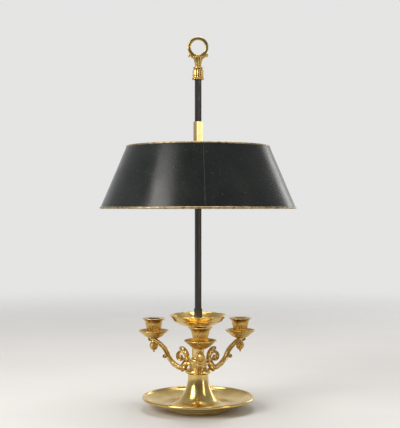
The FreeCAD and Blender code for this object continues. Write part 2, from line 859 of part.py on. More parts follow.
def leaf_section(thickness, width, lift=0.0):
    """Leaf with a raised rib down the middle, bent back at its edges."""
    half = width / 2
    return [
        (lift + thickness, 0.0),
        (lift + thickness * 0.45, half * 0.5),
        (lift + thickness * 0.1, half),
        (lift - thickness * 0.5, half * 0.8),
        (lift - thickness * 0.5, -half * 0.8),
        (lift + thickness * 0.1, -half),
        (lift + thickness * 0.45, -half * 0.5),
    ]


def between(start, end, share):
    return start + (end - start) * share


def rolled_tip(centre, width):
    """Rolled end of a leaf: a short roller across the arm."""
    radius = size.curl_radius.value
    foot = centre - Vector(0, width / 2, 0)
    return Part.makeCylinder(radius, width, foot, Vector(0, 1, 0))


def make_arm_shape():
    """The whole arm in its own plane: X away from the rod, Z up."""
    depth, width = size.stem_depth.value, size.stem_width.value
    stem, scroll = stem_path()
    path = stem + scroll
    sections = []
    for index in range(len(path)):
        if index < len(stem):
            share = index / (len(stem) - 1)
            swell = 0.66 + 0.34 * math.sin(math.pi * min(share * 1.25, 0.72))
            sections.append(ridged_section(depth * swell, width))
        else:
            share = (index - len(stem) + 1) / len(scroll)
            shrink = between(0.7, 0.34, share)
            sections.append(ridged_section(depth * shrink, width * between(1.0, 0.8, share)))
    bar = lofted(path, sections)
    pieces = []

    # Sheath: a leaf under the lower stem, from the bottom of the scroll to its rolled tip.
    thickness, spread = size.sheath_thickness.value, size.sheath_width.value
    sheath_path = stem[5:13]
    last = len(sheath_path) - 1
    sheath_sections = []
    for index in range(len(sheath_path)):
        share = index / last
        lift = depth * between(0.46, 0.42, share)
        breadth = spread * (0.72 + 0.28 * math.sin(math.pi * min(share + 0.15, 1.0)))
        sheath_sections.append(leaf_section(thickness, breadth, lift))
    pieces.append(lofted(sheath_path, sheath_sections))
    _, outward = path_frame(stem, 5)
    pieces.append(rolled_tip(stem[5] + outward * (depth / 2 + size.curl_radius.value * 0.55), spread * 0.7))

    # Leaf behind the scroll, from its bottom tip up the column to its rolled top.
    back_x = size.neck_bead_radius.value + size.back_leaf_gap.value
    x, z = eye_x.value, eye_z.value
    back_guide = [
        plane_point(x - 1.5, z - 24.2),
        plane_point(x - 8.0, z - 18.4),
        plane_point(back_x + thickness + 0.6, z - 9.0),
        plane_point(back_x + thickness, z + 1.0),
        plane_point(x - 8.8, z + 10.4),
        plane_point(x - 1.6, z + 15.2),
    ]
    back_curve = Part.BSplineCurve()
    back_curve.interpolate(back_guide)
    back_path = back_curve.discretize(Number=10)
    back_sections = []
    for index in range(len(back_path)):
        share = index / (len(back_path) - 1)
        swell = math.sin(math.pi * (0.12 + 0.76 * share))
        back_sections.append(leaf_section(thickness * (0.5 + 0.5 * swell), spread * (0.3 + 0.7 * swell)))
    pieces.append(lofted(back_path, back_sections))
    pieces.append(rolled_tip(back_path[-1] + Vector(1.0, 0, -0.8), spread * 0.5))

    # Leaf at the outer end, curling up past the pan's foot.
    reach = size.arm_reach.value
    end_z = arm_end.value
    end_guide = [
        plane_point(reach + 1.0, end_z + 2.6),
        plane_point(reach + 5.6, end_z + 1.8),
        plane_point(reach + 9.0, end_z + 3.2),
        plane_point(reach + 10.2, end_z + 6.0),
    ]
    end_sections = [
        leaf_section(thickness * between(1.0, 0.55, number / 3), spread * between(0.75, 0.4, number / 3))
        for number in range(len(end_guide))
    ]
    pieces.append(lofted(end_guide, end_sections))

    # Seed in the eye, boss for the drum's socket and boss under the pan.
    pieces.append(Part.makeSphere(size.eye_radius.value, plane_point(x, z)))
    boss_foot = plane_point(socket_floor.value, socket_level.value)
    boss_length = x - size.scroll_radius.value - socket_floor.value
    pieces.append(Part.makeCylinder(size.boss_radius.value, boss_length, boss_foot, Vector(1, 0, 0)))
    end_foot = plane_point(reach, end_z)
    pieces.append(Part.makeCylinder(size.end_boss_radius.value, size.end_boss_height.value, end_foot))

    arm = bar.fuse(pieces)
    screw = Part.makeCylinder(
        screw_hole.value, size.screw_grip.value + size.fit.value * 6, boss_foot, Vector(1, 0, 0)
    )
    stud = Part.makeCylinder(stud_hole.value, size.end_boss_height.value * 3, end_foot - Vector(0, 0, 6))
    # The underside of the end boss is spot-faced where the bud seats.
    face_depth = size.bud_height.value
    face_foot = end_foot - Vector(0, 0, face_depth)
    face = Part.makeCylinder(size.bud_radius.value + size.fit.value * 8, face_depth, face_foot)
    return arm.cut([screw, stud, face]).removeSplitter()


def make_arms():
    shape = make_arm_shape()
    arms = []
    for number, name in enumerate(ARM_NAMES):
        arm = doc.addObject("Part::Feature", f"arm_{name}")
        arm.Label = f"arm_{name}"
        arm.Shape = shape
        stand(arm, turn=arm_direction(number))
        arms.append(arm)
    return arms


def make_arm_screws():
    """Three pan-head screws that hold the arms from inside the drum."""
    inner = size.drum_core.value
    head = size.screw_head.value
    screws = []
    for number in range(len(ARM_NAMES)):
        along = Vector(1, 0, 0)
        head_foot = plane_point(inner - head, socket_level.value)
        shank = Part.makeCylinder(
            size.screw_radius.value,
            socket_floor.value + size.screw_grip.value - inner + head,
            head_foot,
            along,
        )
        cap = Part.makeCylinder(size.screw_head_radius.value, head, head_foot, along)
        screw = cap.fuse(shank)
        screw.rotate(Vector(0, 0, 0), Vector(0, 0, 1), arm_direction(number).value)
        screws.append(screw)
    group = doc.addObject("Part::Feature", "arm_screws")
    group.Label = "arm_screws"
    group.Shape = Part.makeCompound(screws)
    return group


# What stands on the end of each arm


def make_pan(name, turn):
    """Wax pan: a conical dish with a turned-out rim."""
    body = new_body(f"pan_{name}")
    wall = size.pan_wall
    rim = size.pan_radius
    turned(
        body,
        [
            to(stud_hole, arm_top),
            to(size.pan_foot_radius, arm_top),
            to(size.pan_foot_radius + 3, arm_top + 0.9),
            arc_left(rim - 6, arm_top + size.pan_height * 0.6, 40),
            arc_left(rim, pan_rim - wall, 30),
            arc_left(rim - wall, pan_rim, wall),
            to(rim - 6 - wall, pan_rim - size.pan_height * 0.4 + wall),
            to(size.cup_foot_radius + 1, pan_floor),
            to(stud_hole, pan_floor),
        ],
    )
    stand(body, size.arm_reach, turn)
    return body


def make_cup(name, turn):
    """Candle cup: a fluted vase with a wide lip and a blind bore."""
    body = new_body(f"cup_{name}")
    foot = size.cup_foot_radius
    lip = size.cup_lip_radius
    waist_z = pan_floor + size.cup_height * 0.42
    body_z = pan_floor + size.cup_height * 0.74
    bore_floor = cup_rim - size.bore_depth - 3.2
    turned(
        body,
        [
            to(stud_hole, pan_floor),
            to(foot, pan_floor),
            arc_left(size.cup_waist_radius, waist_z, size.cup_height * 0.8),
            arc_right(size.cup_body_radius, body_z, size.cup_height * 2),
            arc_right(lip, cup_rim - 2, size.cup_height * 0.3),
            arc_left(lip - 1.2, cup_rim, 1.4),
            arc_left(size.bore_radius, cup_rim - 3.2, size.cup_height * 0.5),
            to(size.bore_radius, bore_floor),
            to(stud_hole, bore_floor),
        ],
    )
    flute = new_sketch(body, "XY", waist_z)
    draw_circle(flute, size.cup_body_radius + size.flute_radius * 0.5, 0, size.flute_radius)
    cut = pocketed(body, flute, body_z - waist_z, onwards=True)
    patterned(body, [cut], size.flute_count)
    stand(body, size.arm_reach, turn)
    return body


def make_pendant(name, turn):
    """Bud that screws up under the arm, with a bead at its tip."""
    body = new_body(f"pendant_{name}")
    bead = size.bud_tip_radius
    bud_foot = arm_end - size.bud_height
    shoulder = size.end_boss_radius - 0.7
    turned(
        body,
        [
            to(0, bud_foot),
            arc_left(bead, bud_foot + bead, bead),
            arc_left(bead * 0.7, bud_foot + bead * 1.8, bead),
            arc_right(size.bud_radius, arm_end - size.bud_height * 0.3, size.bud_height * 1.5),
            arc_left(shoulder, arm_end, size.bud_height * 0.45),
            to(stud_hole, arm_end),
            to(stud_hole, arm_end - size.stud_in_bud - 0.5),
            to(0, arm_end - size.stud_in_bud - 0.5),
        ],
    )
    stand(body, size.arm_reach, turn)
    return body


def make_cup_studs():
    """One stud for each arm: it ties bud, arm, pan and candle cup together."""
    studs = []
    low = arm_end.value - size.stud_in_bud.value
    high = pan_floor.value + size.stud_in_cup.value
    for number in range(len(ARM_NAMES)):
        stud = Part.makeCylinder(size.stud_radius.value, high - low, plane_point(size.arm_reach.value, low))
        stud.rotate(Vector(0, 0, 0), Vector(0, 0, 1), arm_direction(number).value)
        studs.append(stud)
    group = doc.addObject("Part::Feature", "cup_studs")
    group.Label = "cup_studs"
    group.Shape = Part.makeCompound(studs)
    return group


# Shade with its two beads


def sheet_x(level, side=0.0):
    """Distance from the axis to the sheet at a level: side -1 is its inside, +1 its outside."""
    middle = size.shade_bottom_radius - shade_slope * (level - size.shade_rest)
    return middle + size.shade_sheet * (side / 2)


def make_shade_cone():
    """Rolled sheet with the lap seam that closes it."""
    body = new_body("shade_cone")
    turned(
        body,
        [
            to(sheet_x(size.shade_rest, -1), size.shade_rest),
            to(sheet_x(size.shade_rest, 1), size.shade_rest),
            to(sheet_x(shade_top, 1), shade_top),
            to(sheet_x(shade_top, -1), shade_top),
        ],
    )
    low = size.shade_rest + size.bottom_bead * 1.3
    high = shade_top - size.top_bead * 1.3
    lap = new_sketch(body, "XZ")
    draw_outline(
        lap,
        [
            to(sheet_x(low), low),
            to(sheet_x(low, 1) + size.seam_step, low),
            to(sheet_x(high, 1) + size.seam_step, high),
            to(sheet_x(high), high),
        ],
    )
    seam = body.newObject("PartDesign::Revolution", "shade_seam")
    seam.Profile = (lap, [""])
    seam.ReferenceAxis = (lap, ["V_Axis"])
    seam.Angle = size.seam_angle.value
    seam.setExpression("Angle", size.seam_angle.formula)
    stand(body, turn=size.seam_turn)
    return body


def make_bead(label, level, radius, upwards):
    """Wire bead drawn with flats, with a slot that takes the edge of the sheet."""
    body = new_body(label)
    middle = sheet_x(level)
    way = 1 if upwards else -1

    def slot_corner(rise, side):
        height = level + radius * (rise * way)
        return to(sheet_x(height, side * way) + size.fit * (side * way), height)

    steps = [slot_corner(0, 1), slot_corner(BEAD_WIDE_LIP, 1)]
    for degrees in BEAD_CORNERS:
        across = math.cos(math.radians(degrees)) * way
        rise = math.sin(math.radians(degrees)) * way
        steps.append(to(middle + radius * across, level + radius * rise))
    steps += [slot_corner(BEAD_NARROW_LIP, -1), slot_corner(0, -1)]
    turned(body, steps)
    return body


# Carriage of the shade: sleeve, spider and thumb screw


def make_sleeve():
    """Square tube on the rod with a threaded nose for the thumb screw."""
    body = new_body("sleeve")
    sketch = new_sketch(body, "XY", sleeve_foot)
    draw_square(sketch, sleeve_half)
    draw_square(sketch, size.rod_size / 2 + size.slide_clearance)
    padded(body, sketch, size.sleeve_length)
    nose = new_sketch(body, "YZ", sleeve_half - size.sleeve_wall / 2)
    draw_circle(nose, 0, screw_level, size.nose_radius)
    padded(body, nose, size.nose_length + size.sleeve_wall / 2)
    hole = new_sketch(body, "YZ", 0)
    draw_circle(hole, 0, screw_level, size.thumb_radius + size.fit)
    pocketed(body, hole, onwards=True)
    stand(body, turn=size.rod_turn)
    return body


def make_spider():
    """Hub on the sleeve and flat straps, halfway between the candles, with feet on the sheet."""
    body = new_body("spider")
    hub_foot = strap_top - size.hub_height / 2 - size.strap_thickness / 2
    hub = new_sketch(body, "XY", hub_foot)
    draw_square(hub, size.hub_size / 2)
    draw_square(hub, sleeve_half + size.fit)
    padded(body, hub, size.hub_height)
    foot_low = strap_top - size.strap_foot
    strap_low = strap_top - size.strap_thickness
    # The flat foot keeps clear of the round sheet by the rise of the arc across its width.
    clear = size.fit * 2
    strap = new_sketch(body, "XZ")
    strap_turn = size.arm_turn + arm_spacing / 2 - size.rod_turn
    strap.AttachmentOffset = FreeCAD.Placement(
        Vector(), FreeCAD.Rotation(Vector(0, 1, 0), strap_turn.value)
    )
    strap.setExpression("AttachmentOffset.Rotation.Angle", f"{strap_turn.formula} * 1deg")
    root = sleeve_half + size.strap_root
    draw_outline(
        strap,
        [
            to(root, strap_low),
            to(sheet_x(strap_low, -1) - clear - size.strap_thickness, strap_low),
            to(sheet_x(foot_low, -1) - clear - size.strap_thickness, foot_low),
            to(sheet_x(foot_low, -1) - clear, foot_low),
            to(sheet_x(strap_top, -1) - clear, strap_top),
            to(root, strap_top),
        ],
    )
    arm = padded(body, strap, size.strap_width, centred=True)
    doc.recompute()
    patterned(body, [arm], size.strap_count)
    stand(body, turn=size.rod_turn)
    return body


def make_grip_pad():
    """Small disc in the nose of the sleeve, between the screw and the rod."""
    body = new_body("grip_pad")
    sketch = new_sketch(body, "YZ", size.rod_size / 2 + size.fit)
    draw_circle(sketch, 0, screw_level, size.thumb_radius)
    padded(body, sketch, size.pad_thickness)
    stand(body, turn=size.rod_turn)
    return body


def make_thumb_screw():
    """Screw with a two-lobed wing."""
    body = new_body("thumb_screw")
    tip = size.rod_size / 2 + size.fit + size.pad_thickness
    shank = new_sketch(body, "YZ", tip)
    draw_circle(shank, 0, screw_level, size.thumb_radius)
    padded(body, shank, size.thumb_length)
    collar = new_sketch(body, "YZ", tip + size.thumb_length - 3)
    draw_circle(collar, 0, screw_level, size.wing_collar_radius)
    padded(body, collar, 3)
    # The wing is a flat plate along the screw: two round lobes joined by a web.
    wing = new_sketch(body, "XZ")
    low = tip + size.thumb_length - 1.5
    middle = low + size.wing_radius
    web = size.wing_radius * 0.8
    draw_outline(
        wing,
        [
            to(low, screw_level - size.wing_spread),
            to(middle, screw_level - size.wing_spread - web),
            to(middle + web, screw_level - size.wing_spread),
            to(middle, screw_level),
            to(middle + web, screw_level + size.wing_spread),
            to(middle, screw_level + size.wing_spread + web),
            to(low, screw_level + size.wing_spread),
        ],
    )
    padded(body, wing, size.wing_thickness, centred=True)
    stand(body, turn=size.rod_turn)
    return body


def make_all():
    pieces = [
        make_foot_ring(),
        make_base_dish(),
        make_trumpet_foot(),
        make_collar(),
        make_drum(),
        make_neck(),
        make_drip_tray(),
        make_rod(),
        make_ferrule(),
        make_washer(),
        make_nut(),
        make_finial_cup(),
        make_ring_handle(),
        make_arm_screws(),
        make_cup_studs(),
        make_shade_cone(),
        make_bead("shade_bottom_rim", size.shade_rest, size.bottom_bead, upwards=True),
        make_bead("shade_top_rim", shade_top, size.top_bead, upwards=False),
        make_sleeve(),
        make_spider(),
        make_grip_pad(),
        make_thumb_screw(),
    ]
    pieces += make_arms()
    for number, name in enumerate(ARM_NAMES):
        turn = arm_direction(number)
        pieces += [make_pan(name, turn), make_cup(name, turn), make_pendant(name, turn)]
    return pieces


def check(pieces):
    """Stops before anything is written if a feature failed or a piece has no sound solid."""
    for item in doc.Objects:
        if "Invalid" in item.State or "Error" in item.State:
            raise RuntimeError(f"{item.Name} failed: {item.State}")
    for piece in pieces:
        shape = piece.Shape
        if shape.isNull() or not shape.isValid() or not shape.Solids:
            raise RuntimeError(f"{piece.Label} has no valid solid")


def export(pieces):
    os.makedirs("parts", exist_ok=True)
    for piece in pieces:
        piece.Shape.exportStep(f"parts/{piece.Label}.step")


all_pieces = make_all()
doc.recompute()
check(all_pieces)
export(all_pieces)
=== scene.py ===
import bpy
import bmesh
import math
from mathutils import Matrix, Vector, noise

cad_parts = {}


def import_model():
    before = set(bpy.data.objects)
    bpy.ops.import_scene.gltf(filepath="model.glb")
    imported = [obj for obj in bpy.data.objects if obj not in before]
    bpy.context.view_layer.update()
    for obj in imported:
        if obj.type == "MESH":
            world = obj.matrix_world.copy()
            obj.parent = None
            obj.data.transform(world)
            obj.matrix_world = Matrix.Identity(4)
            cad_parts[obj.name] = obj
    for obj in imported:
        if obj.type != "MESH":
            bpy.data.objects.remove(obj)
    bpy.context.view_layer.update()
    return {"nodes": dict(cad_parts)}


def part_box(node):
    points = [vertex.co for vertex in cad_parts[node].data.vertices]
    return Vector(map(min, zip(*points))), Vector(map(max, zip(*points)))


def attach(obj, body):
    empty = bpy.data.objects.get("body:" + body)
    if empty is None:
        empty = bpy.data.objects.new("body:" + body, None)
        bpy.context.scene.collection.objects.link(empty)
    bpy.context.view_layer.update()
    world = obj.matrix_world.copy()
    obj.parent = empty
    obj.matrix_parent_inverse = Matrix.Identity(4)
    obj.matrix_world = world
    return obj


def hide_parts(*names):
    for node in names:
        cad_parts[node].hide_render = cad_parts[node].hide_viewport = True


# Bouillotte lamp: the finish of every surface and the carved and turned forms, in metres, on the
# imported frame. Sizes in the builders below are millimetres, turned into metres by MM.

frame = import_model()
nodes = frame["nodes"]

MM = 0.001
ROD_TURN = math.radians(-61.0)  # the square rod's turn from the X axis
ARM_TURNS = {"front": -87.5, "right": 32.5, "left": 152.5}  # degrees from the X axis
SEAM_TURN = math.radians(-86.2)  # place of the shade's lap
SEAM_ANGLE = math.radians(4.0)  # width of the lap
ARM_REACH = 89.7  # rod to the middle of a candle
STACK_BORE = 3.2  # radius of the hole for the rod's tie, in the turned pieces
STUD_BORE = 2.1  # radius of the hole for a cup's stud
CANDLE_BORE = 11.0  # radius of a cup's socket
ARM_WIDTH = 8.4  # stem of an arm, side to side
EYE_REACH = 33.8  # rod to the eye of a scroll
EYE_RISE = 3.7  # eye of a scroll over the drum's top
SCROLL_RADIUS = 11.6  # widest turn of a scroll
SCROLL_START = math.radians(195)  # where the stem runs into the scroll
ROLL_SWEEP = math.radians(-420)  # how far a rolled leaf tip goes round
NECK_BEAD_RADIUS = 17.6  # bead that the leaves behind the scrolls stand clear of
SHEET_FOOT_RADIUS = 169.6  # middle of the shade's sheet at its lower edge
SHADE_SLOPE = 45.1 / 106.1  # loss of radius for each millimetre up
SHEET_HALF = 0.55  # half of the sheet's thickness
ACROSS = Vector((0, 1, 0))  # square to the plane in which arms and ring are made
LATHE_SEGMENTS = 240

# Greys of the surroundings, from behind the camera to behind the lamp
WORLD_COLOURS = [
    (0.05, (0.17, 0.168, 0.165)),
    (0.80, (0.44, 0.44, 0.437)),
    (0.97, (0.78, 0.78, 0.775)),
]


def low(node):
    """Lowest level of a node at rest, in millimetres."""
    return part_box(node)[0][2] / MM


def high(node):
    """Highest level of a node at rest, in millimetres."""
    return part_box(node)[1][2] / MM


# Profiles of relief and sections


def unit(value):
    """The value kept between 0 and 1."""
    return max(0.0, min(1.0, value))


def across_petal(angle, count):
    """Place across one of count equal petals: -1 to 1, with 0 on its rib."""
    return ((angle * count / (2 * math.pi)) % 1.0) * 2 - 1


def ridge(offset, width, power=2):
    """1 on the crest, falling away over width; a higher power makes the crest flatter."""
    return math.exp(-((offset / width) ** power))


def dome(offset):
    """Half-round hump: 1 in the middle, 0 from -1 down and from 1 up."""
    return math.sqrt(max(0.0, 1 - offset * offset))


def squared(value, power):
    """A sine or cosine pulled outwards, for a section between round and square."""
    return math.copysign(abs(value) ** power, value)


# Outlines


def outline(start, *steps):
    """Fine points through a start and steps (r, z) or (r, z, radius, turn), in millimetres."""
    points = [Vector(start)]
    for step in steps:
        begin, end = points[-1], Vector(step[:2])
        if len(step) == 2:
            count = max(1, int((end - begin).length / 4))
            points += [begin.lerp(end, (k + 1) / count) for k in range(count)]
            continue
        radius, turn = step[2], step[3]
        chord = end - begin
        half = chord.length / 2
        reach = math.sqrt(max(radius * radius - half * half, 0.0))
        sideways = Vector((-chord.y, chord.x)).normalized() * (1 if turn == "left" else -1)
        centre = (begin + end) / 2 + sideways * reach
        first = math.atan2(begin.y - centre.y, begin.x - centre.x)
        sweep = 2 * math.asin(min(half / radius, 1.0)) * (1 if turn == "left" else -1)
        count = max(4, int(abs(sweep) / math.radians(5)))
        for k in range(count):
            angle = first + sweep * (k + 1) / count
            points.append(centre + radius * Vector((math.cos(angle), math.sin(angle))))
    return points


def refined(points, spacing):
    """The same outline with no run longer than spacing, for relief."""
    fine = [points[0]]
    for end in points[1:]:
        begin = fine[-1]
        count = max(1, math.ceil((end - begin).length / spacing))
        fine += [begin.lerp(end, (k + 1) / count) for k in range(count)]
    return fine


def outline_normals(points, closed):
    """Unit normals on the right-hand side of travel."""
    normals = []
    last = len(points) - 1
    for k in range(len(points)):
        before = points[k - 1] if k > 0 or closed else points[k]
        after = points[k + 1] if k < last else (points[0] if closed else points[k])
        along = (after - before).normalized()
        normals.append(Vector((along.y, -along.x)))
    return normals


# Meshes


def finish_mesh(name, mesh, body, material, replaced=(), sharp=38):
    """Smooth shading with crisp corners, one material, and the body that the piece rides on."""
    for polygon in mesh.polygons:
        polygon.use_smooth = True
    mesh.set_sharp_from_angle(angle=math.radians(sharp))
    piece = bpy.data.objects.new(name, mesh)
    bpy.context.scene.collection.objects.link(piece)
    mesh.materials.append(material)
    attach(piece, body)
    if replaced:
        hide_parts(*replaced)
    return piece


def lathe_mesh(
    name, points, relief=None, segments=LATHE_SEGMENTS, closed=True, centre=(0, 0), turn=0.0
):
    """Turns an outline round a vertical axis; relief(angle, r, z) lifts the surface along its normal.

    The outline is in millimetres, and centre in metres.
    """
    normals = outline_normals(points, closed)
    vertices = []
    for s in range(segments):
        angle = 2 * math.pi * s / segments
        for point, normal in zip(points, normals):
            r, z = point
            if relief is not None:
                lift = relief(angle, r, z)
                r, z = r + normal.x * lift, z + normal.y * lift
            r = max(r, 0.0)
            around = angle + turn
            x = centre[0] + r * MM * math.cos(around)
            y = centre[1] + r * MM * math.sin(around)
            vertices.append((x, y, z * MM))
    count = len(points)
    runs = count if closed else count - 1
    faces = []
    for s in range(segments):
        here, there = s * count, ((s + 1) % segments) * count
        for k in range(runs):
            after = (k + 1) % count
            faces.append((here + k, there + k, there + after, here + after))
    mesh = bpy.data.meshes.new(name)
    mesh.from_pydata(vertices, [], faces)
    tidy_mesh(mesh)
    return mesh


def tidy_mesh(mesh):
    """Welds doubled points, drops faces with no area and turns the normals outwards."""
    work = bmesh.new()
    work.from_mesh(mesh)
    bmesh.ops.remove_doubles(work, verts=work.verts, dist=1e-6)
    bmesh.ops.dissolve_degenerate(work, dist=1e-7, edges=work.edges)
    bmesh.ops.recalc_face_normals(work, faces=work.faces)
    work.to_mesh(mesh)
    work.free()


def sweep_mesh(name, path, frames, sections, cap=True):
    """Skin over one section at each point of the path; a section lists (outward, sideways) in mm."""
    vertices, faces = [], []
    for point, (outward, sideways), section in zip(path, frames, sections):
        for out, side in section:
            vertices.append(tuple((point + outward * out + sideways * side) * MM))
    count = len(sections[0])
    for k in range(len(path) - 1):
        here, there = k * count, (k + 1) * count
        for c in range(count):
            after = (c + 1) % count
            faces.append((here + c, here + after, there + after, there + c))
    if cap:
        faces.append(tuple(range(count - 1, -1, -1)))
        first = (len(path) - 1) * count
        faces.append(tuple(range(first, first + count)))
    mesh = bpy.data.meshes.new(name)
    mesh.from_pydata(vertices, [], faces)
    tidy_mesh(mesh)
    return mesh


def joined(name, meshes):
    """One mesh from several."""
    work = bmesh.new()
    for mesh in meshes:
        work.from_mesh(mesh)
        bpy.data.meshes.remove(mesh)
    mesh = bpy.data.meshes.new(name)
    work.to_mesh(mesh)
    work.free()
    return mesh


def ball_mesh(name, centre, radius, squash=(1, 1, 1), detail=3):
    """Round or squashed ball; centre and radius in millimetres."""
    work = bmesh.new()
    bmesh.ops.create_icosphere(work, subdivisions=detail, radius=radius * MM)
    bmesh.ops.scale(work, vec=squash, verts=work.verts)
    bmesh.ops.translate(work, vec=Vector(centre) * MM, verts=work.verts)
    mesh = bpy.data.meshes.new(name)
    work.to_mesh(mesh)
    work.free()
    return mesh


# Materials


def fill_ramp(ramp, stops):
    """Sets a ramp's stops; a colour is a tuple, or one number for a grey."""
    elements = ramp.elements
    while len(elements) < len(stops):
        elements.new(0.5)
    for element, (place, colour) in zip(elements, stops):
        element.position = place
        element.color = (colour,) * 3 + (1.0,) if isinstance(colour, float) else (*colour, 1.0)


class Nodes:
    """Shorthands for building one material's nodes."""

    def __init__(self, name):
        self.material = bpy.data.materials.new(name)
        self.material.use_nodes = True
        self.tree = self.material.node_tree
        self.shader = self.tree.nodes["Principled BSDF"]
        self.place = self.add("ShaderNodeTexCoord").outputs["Object"]

    def add(self, kind, **settings):
        node = self.tree.nodes.new(kind)
        for key, value in settings.items():
            setattr(node, key, value)
        return node

    def link(self, source, target):
        self.tree.links.new(source, target)

    def noise(self, scale, detail=4.0, stretch=(1, 1, 1), rough=0.55):
        mapping = self.add("ShaderNodeMapping")
        mapping.inputs["Scale"].default_value = stretch
        self.link(self.place, mapping.inputs["Vector"])
        texture = self.add("ShaderNodeTexNoise")
        texture.inputs["Scale"].default_value = scale
        texture.inputs["Detail"].default_value = detail
        texture.inputs["Roughness"].default_value = rough
        self.link(mapping.outputs["Vector"], texture.inputs["Vector"])
        return texture.outputs["Fac"]

    def ramp(self, source, stops):
        ramp = self.add("ShaderNodeValToRGB")
        fill_ramp(ramp.color_ramp, stops)
        self.link(source, ramp.inputs["Fac"])
        return ramp.outputs["Color"]

    def mix(self, share, first, second, blend="MIX"):
        mix = self.add("ShaderNodeMix", data_type="RGBA", blend_type=blend)
        factor, first_colour, second_colour = 0, 6, 7  # the node's sockets for colours
        self.put(mix.inputs[factor], share)
        self.put(mix.inputs[first_colour], first)
        self.put(mix.inputs[second_colour], second)
        return mix.outputs[2]

    def math(self, operation, first, second):
        node = self.add("ShaderNodeMath", operation=operation)
        self.put(node.inputs[0], first)
        self.put(node.inputs[1], second)
        return node.outputs[0]

    def put(self, socket, value):
        """Links a socket to another one, or sets it to a colour or a number."""
        if isinstance(value, bpy.types.NodeSocket):
            self.link(value, socket)
        elif isinstance(value, tuple):
            socket.default_value = (*value, 1.0)
        else:
            socket.default_value = value

    def bump(self, height, strength, distance=0.0004, normal=None):
        node = self.add("ShaderNodeBump")
        node.inputs["Strength"].default_value = strength
        node.inputs["Distance"].default_value = distance
        self.link(height, node.inputs["Height"])
        if normal is not None:
            self.link(normal, node.inputs["Normal"])
        return node.outputs["Normal"]

    def set(self, **sockets):
        names = {
            "base": "Base Color",
            "rough": "Roughness",
            "metal": "Metallic",
            "normal": "Normal",
            "specular": "Specular IOR Level",
        }
        for key, value in sockets.items():
            self.put(self.shader.inputs[names[key]], value)
        return self.material


def gilt_turned():
    """Burnished gilding: bright, a little cloudy, with faint turning lines."""
    n = Nodes("gilt_turned")
    golds = [(0.3, (0.62, 0.42, 0.13)), (0.55, (0.74, 0.54, 0.20)), (0.8, (0.82, 0.63, 0.28))]
    colour = n.ramp(n.noise(34, 5), golds)
    rough = n.ramp(n.noise(60, 5), [(0.3, 0.13), (0.75, 0.27)])
    lines = n.noise(420, 2, stretch=(0.05, 0.05, 1.0))
    normal = n.bump(lines, 0.05, 0.0002, n.bump(n.noise(90, 3), 0.06, 0.0006))
    return n.set(base=colour, rough=rough, metal=1.0, normal=normal)


def gilt_carved():
    """Matt and burnished gilding on the carved pieces, with brown in the hollows that is partly
    patina and partly painted shade.
    """
    n = Nodes("gilt_carved")
    hollow = n.add("ShaderNodeNewGeometry").outputs["Pointiness"]
    # Pointiness darkens the hollows to brown: partly patina, partly painted shade.
    golds = [(0.44, (0.22, 0.12, 0.03)), (0.5, (0.64, 0.44, 0.14)), (0.56, (0.84, 0.65, 0.29))]
    depth = n.ramp(hollow, golds)
    cloud = n.ramp(n.noise(60, 5), [(0.3, (0.80, 0.72, 0.6)), (0.7, (1.0, 1.0, 1.0))])
    colour = n.mix(1.0, depth, cloud, "MULTIPLY")
    rough = n.ramp(n.noise(180, 4), [(0.3, 0.22), (0.7, 0.36)])
    normal = n.bump(n.noise(1100, 3), 0.07, 0.0003)
    return n.set(base=colour, rough=rough, metal=1.0, normal=normal)


def sleeve_metal():
    """Brass of the sleeve and screw, rubbed along its length."""
    n = Nodes("sleeve_metal")
    streaks = n.noise(260, 4, stretch=(1, 1, 0.04))
    colour = n.ramp(n.noise(45, 5), [(0.3, (0.60, 0.42, 0.17)), (0.7, (0.80, 0.62, 0.30))])
    rough = n.ramp(streaks, [(0.3, 0.22), (0.7, 0.38)])
    normal = n.bump(streaks, 0.12, 0.0002)
    return n.set(base=colour, rough=rough, metal=1.0, normal=normal)


def rim_metal():
    """Beads of the shade: brass that has gone brown in places."""
    n = Nodes("rim_metal")
    browns = [(0.34, (0.20, 0.14, 0.08)), (0.5, (0.40, 0.31, 0.18)), (0.68, (0.56, 0.46, 0.29))]
    colour = n.ramp(n.noise(120, 6), browns)
    rough = n.ramp(n.noise(200, 4), [(0.3, 0.34), (0.7, 0.52)])
    normal = n.bump(n.noise(500, 3), 0.10, 0.0003)
    return n.set(base=colour, rough=rough, metal=1.0, normal=normal)


def rod_metal():
    """Square iron rod with a dark patina, rubbed along its length."""
    n = Nodes("rod_metal")
    streaks = n.noise(300, 5, stretch=(1, 1, 0.03))
    colour = n.ramp(streaks, [(0.3, (0.020, 0.018, 0.016)), (0.7, (0.060, 0.055, 0.050))])
    rough = n.ramp(n.noise(90, 5), [(0.3, 0.30), (0.7, 0.48)])
    normal = n.bump(streaks, 0.15, 0.0002)
    return n.set(base=colour, rough=rough, metal=0.55, normal=normal)


def socket_soot_and_shade():
    """Socket of a candle cup, near black: partly soot from wicks and wax, partly painted shade deep
    in the bore.
    """
    n = Nodes("socket_soot_and_shade")
    # Near-black paint for soot and for the shade deep in the bore.
    colour = n.ramp(n.noise(160, 4), [(0.3, (0.014, 0.011, 0.008)), (0.7, (0.045, 0.033, 0.020))])
    rough = n.ramp(n.noise(220, 4), [(0.3, 0.5), (0.7, 0.75)])
    return n.set(base=colour, rough=rough, metal=0.3)


def plain_steel():
    """Bare steel of the hidden fasteners."""
    n = Nodes("plain_steel")
    colour = n.ramp(n.noise(200, 4), [(0.3, (0.32, 0.31, 0.29)), (0.7, (0.48, 0.47, 0.45))])
    rough = n.ramp(n.noise(300, 4), [(0.3, 0.3), (0.7, 0.5)])
    return n.set(base=colour, rough=rough, metal=1.0)


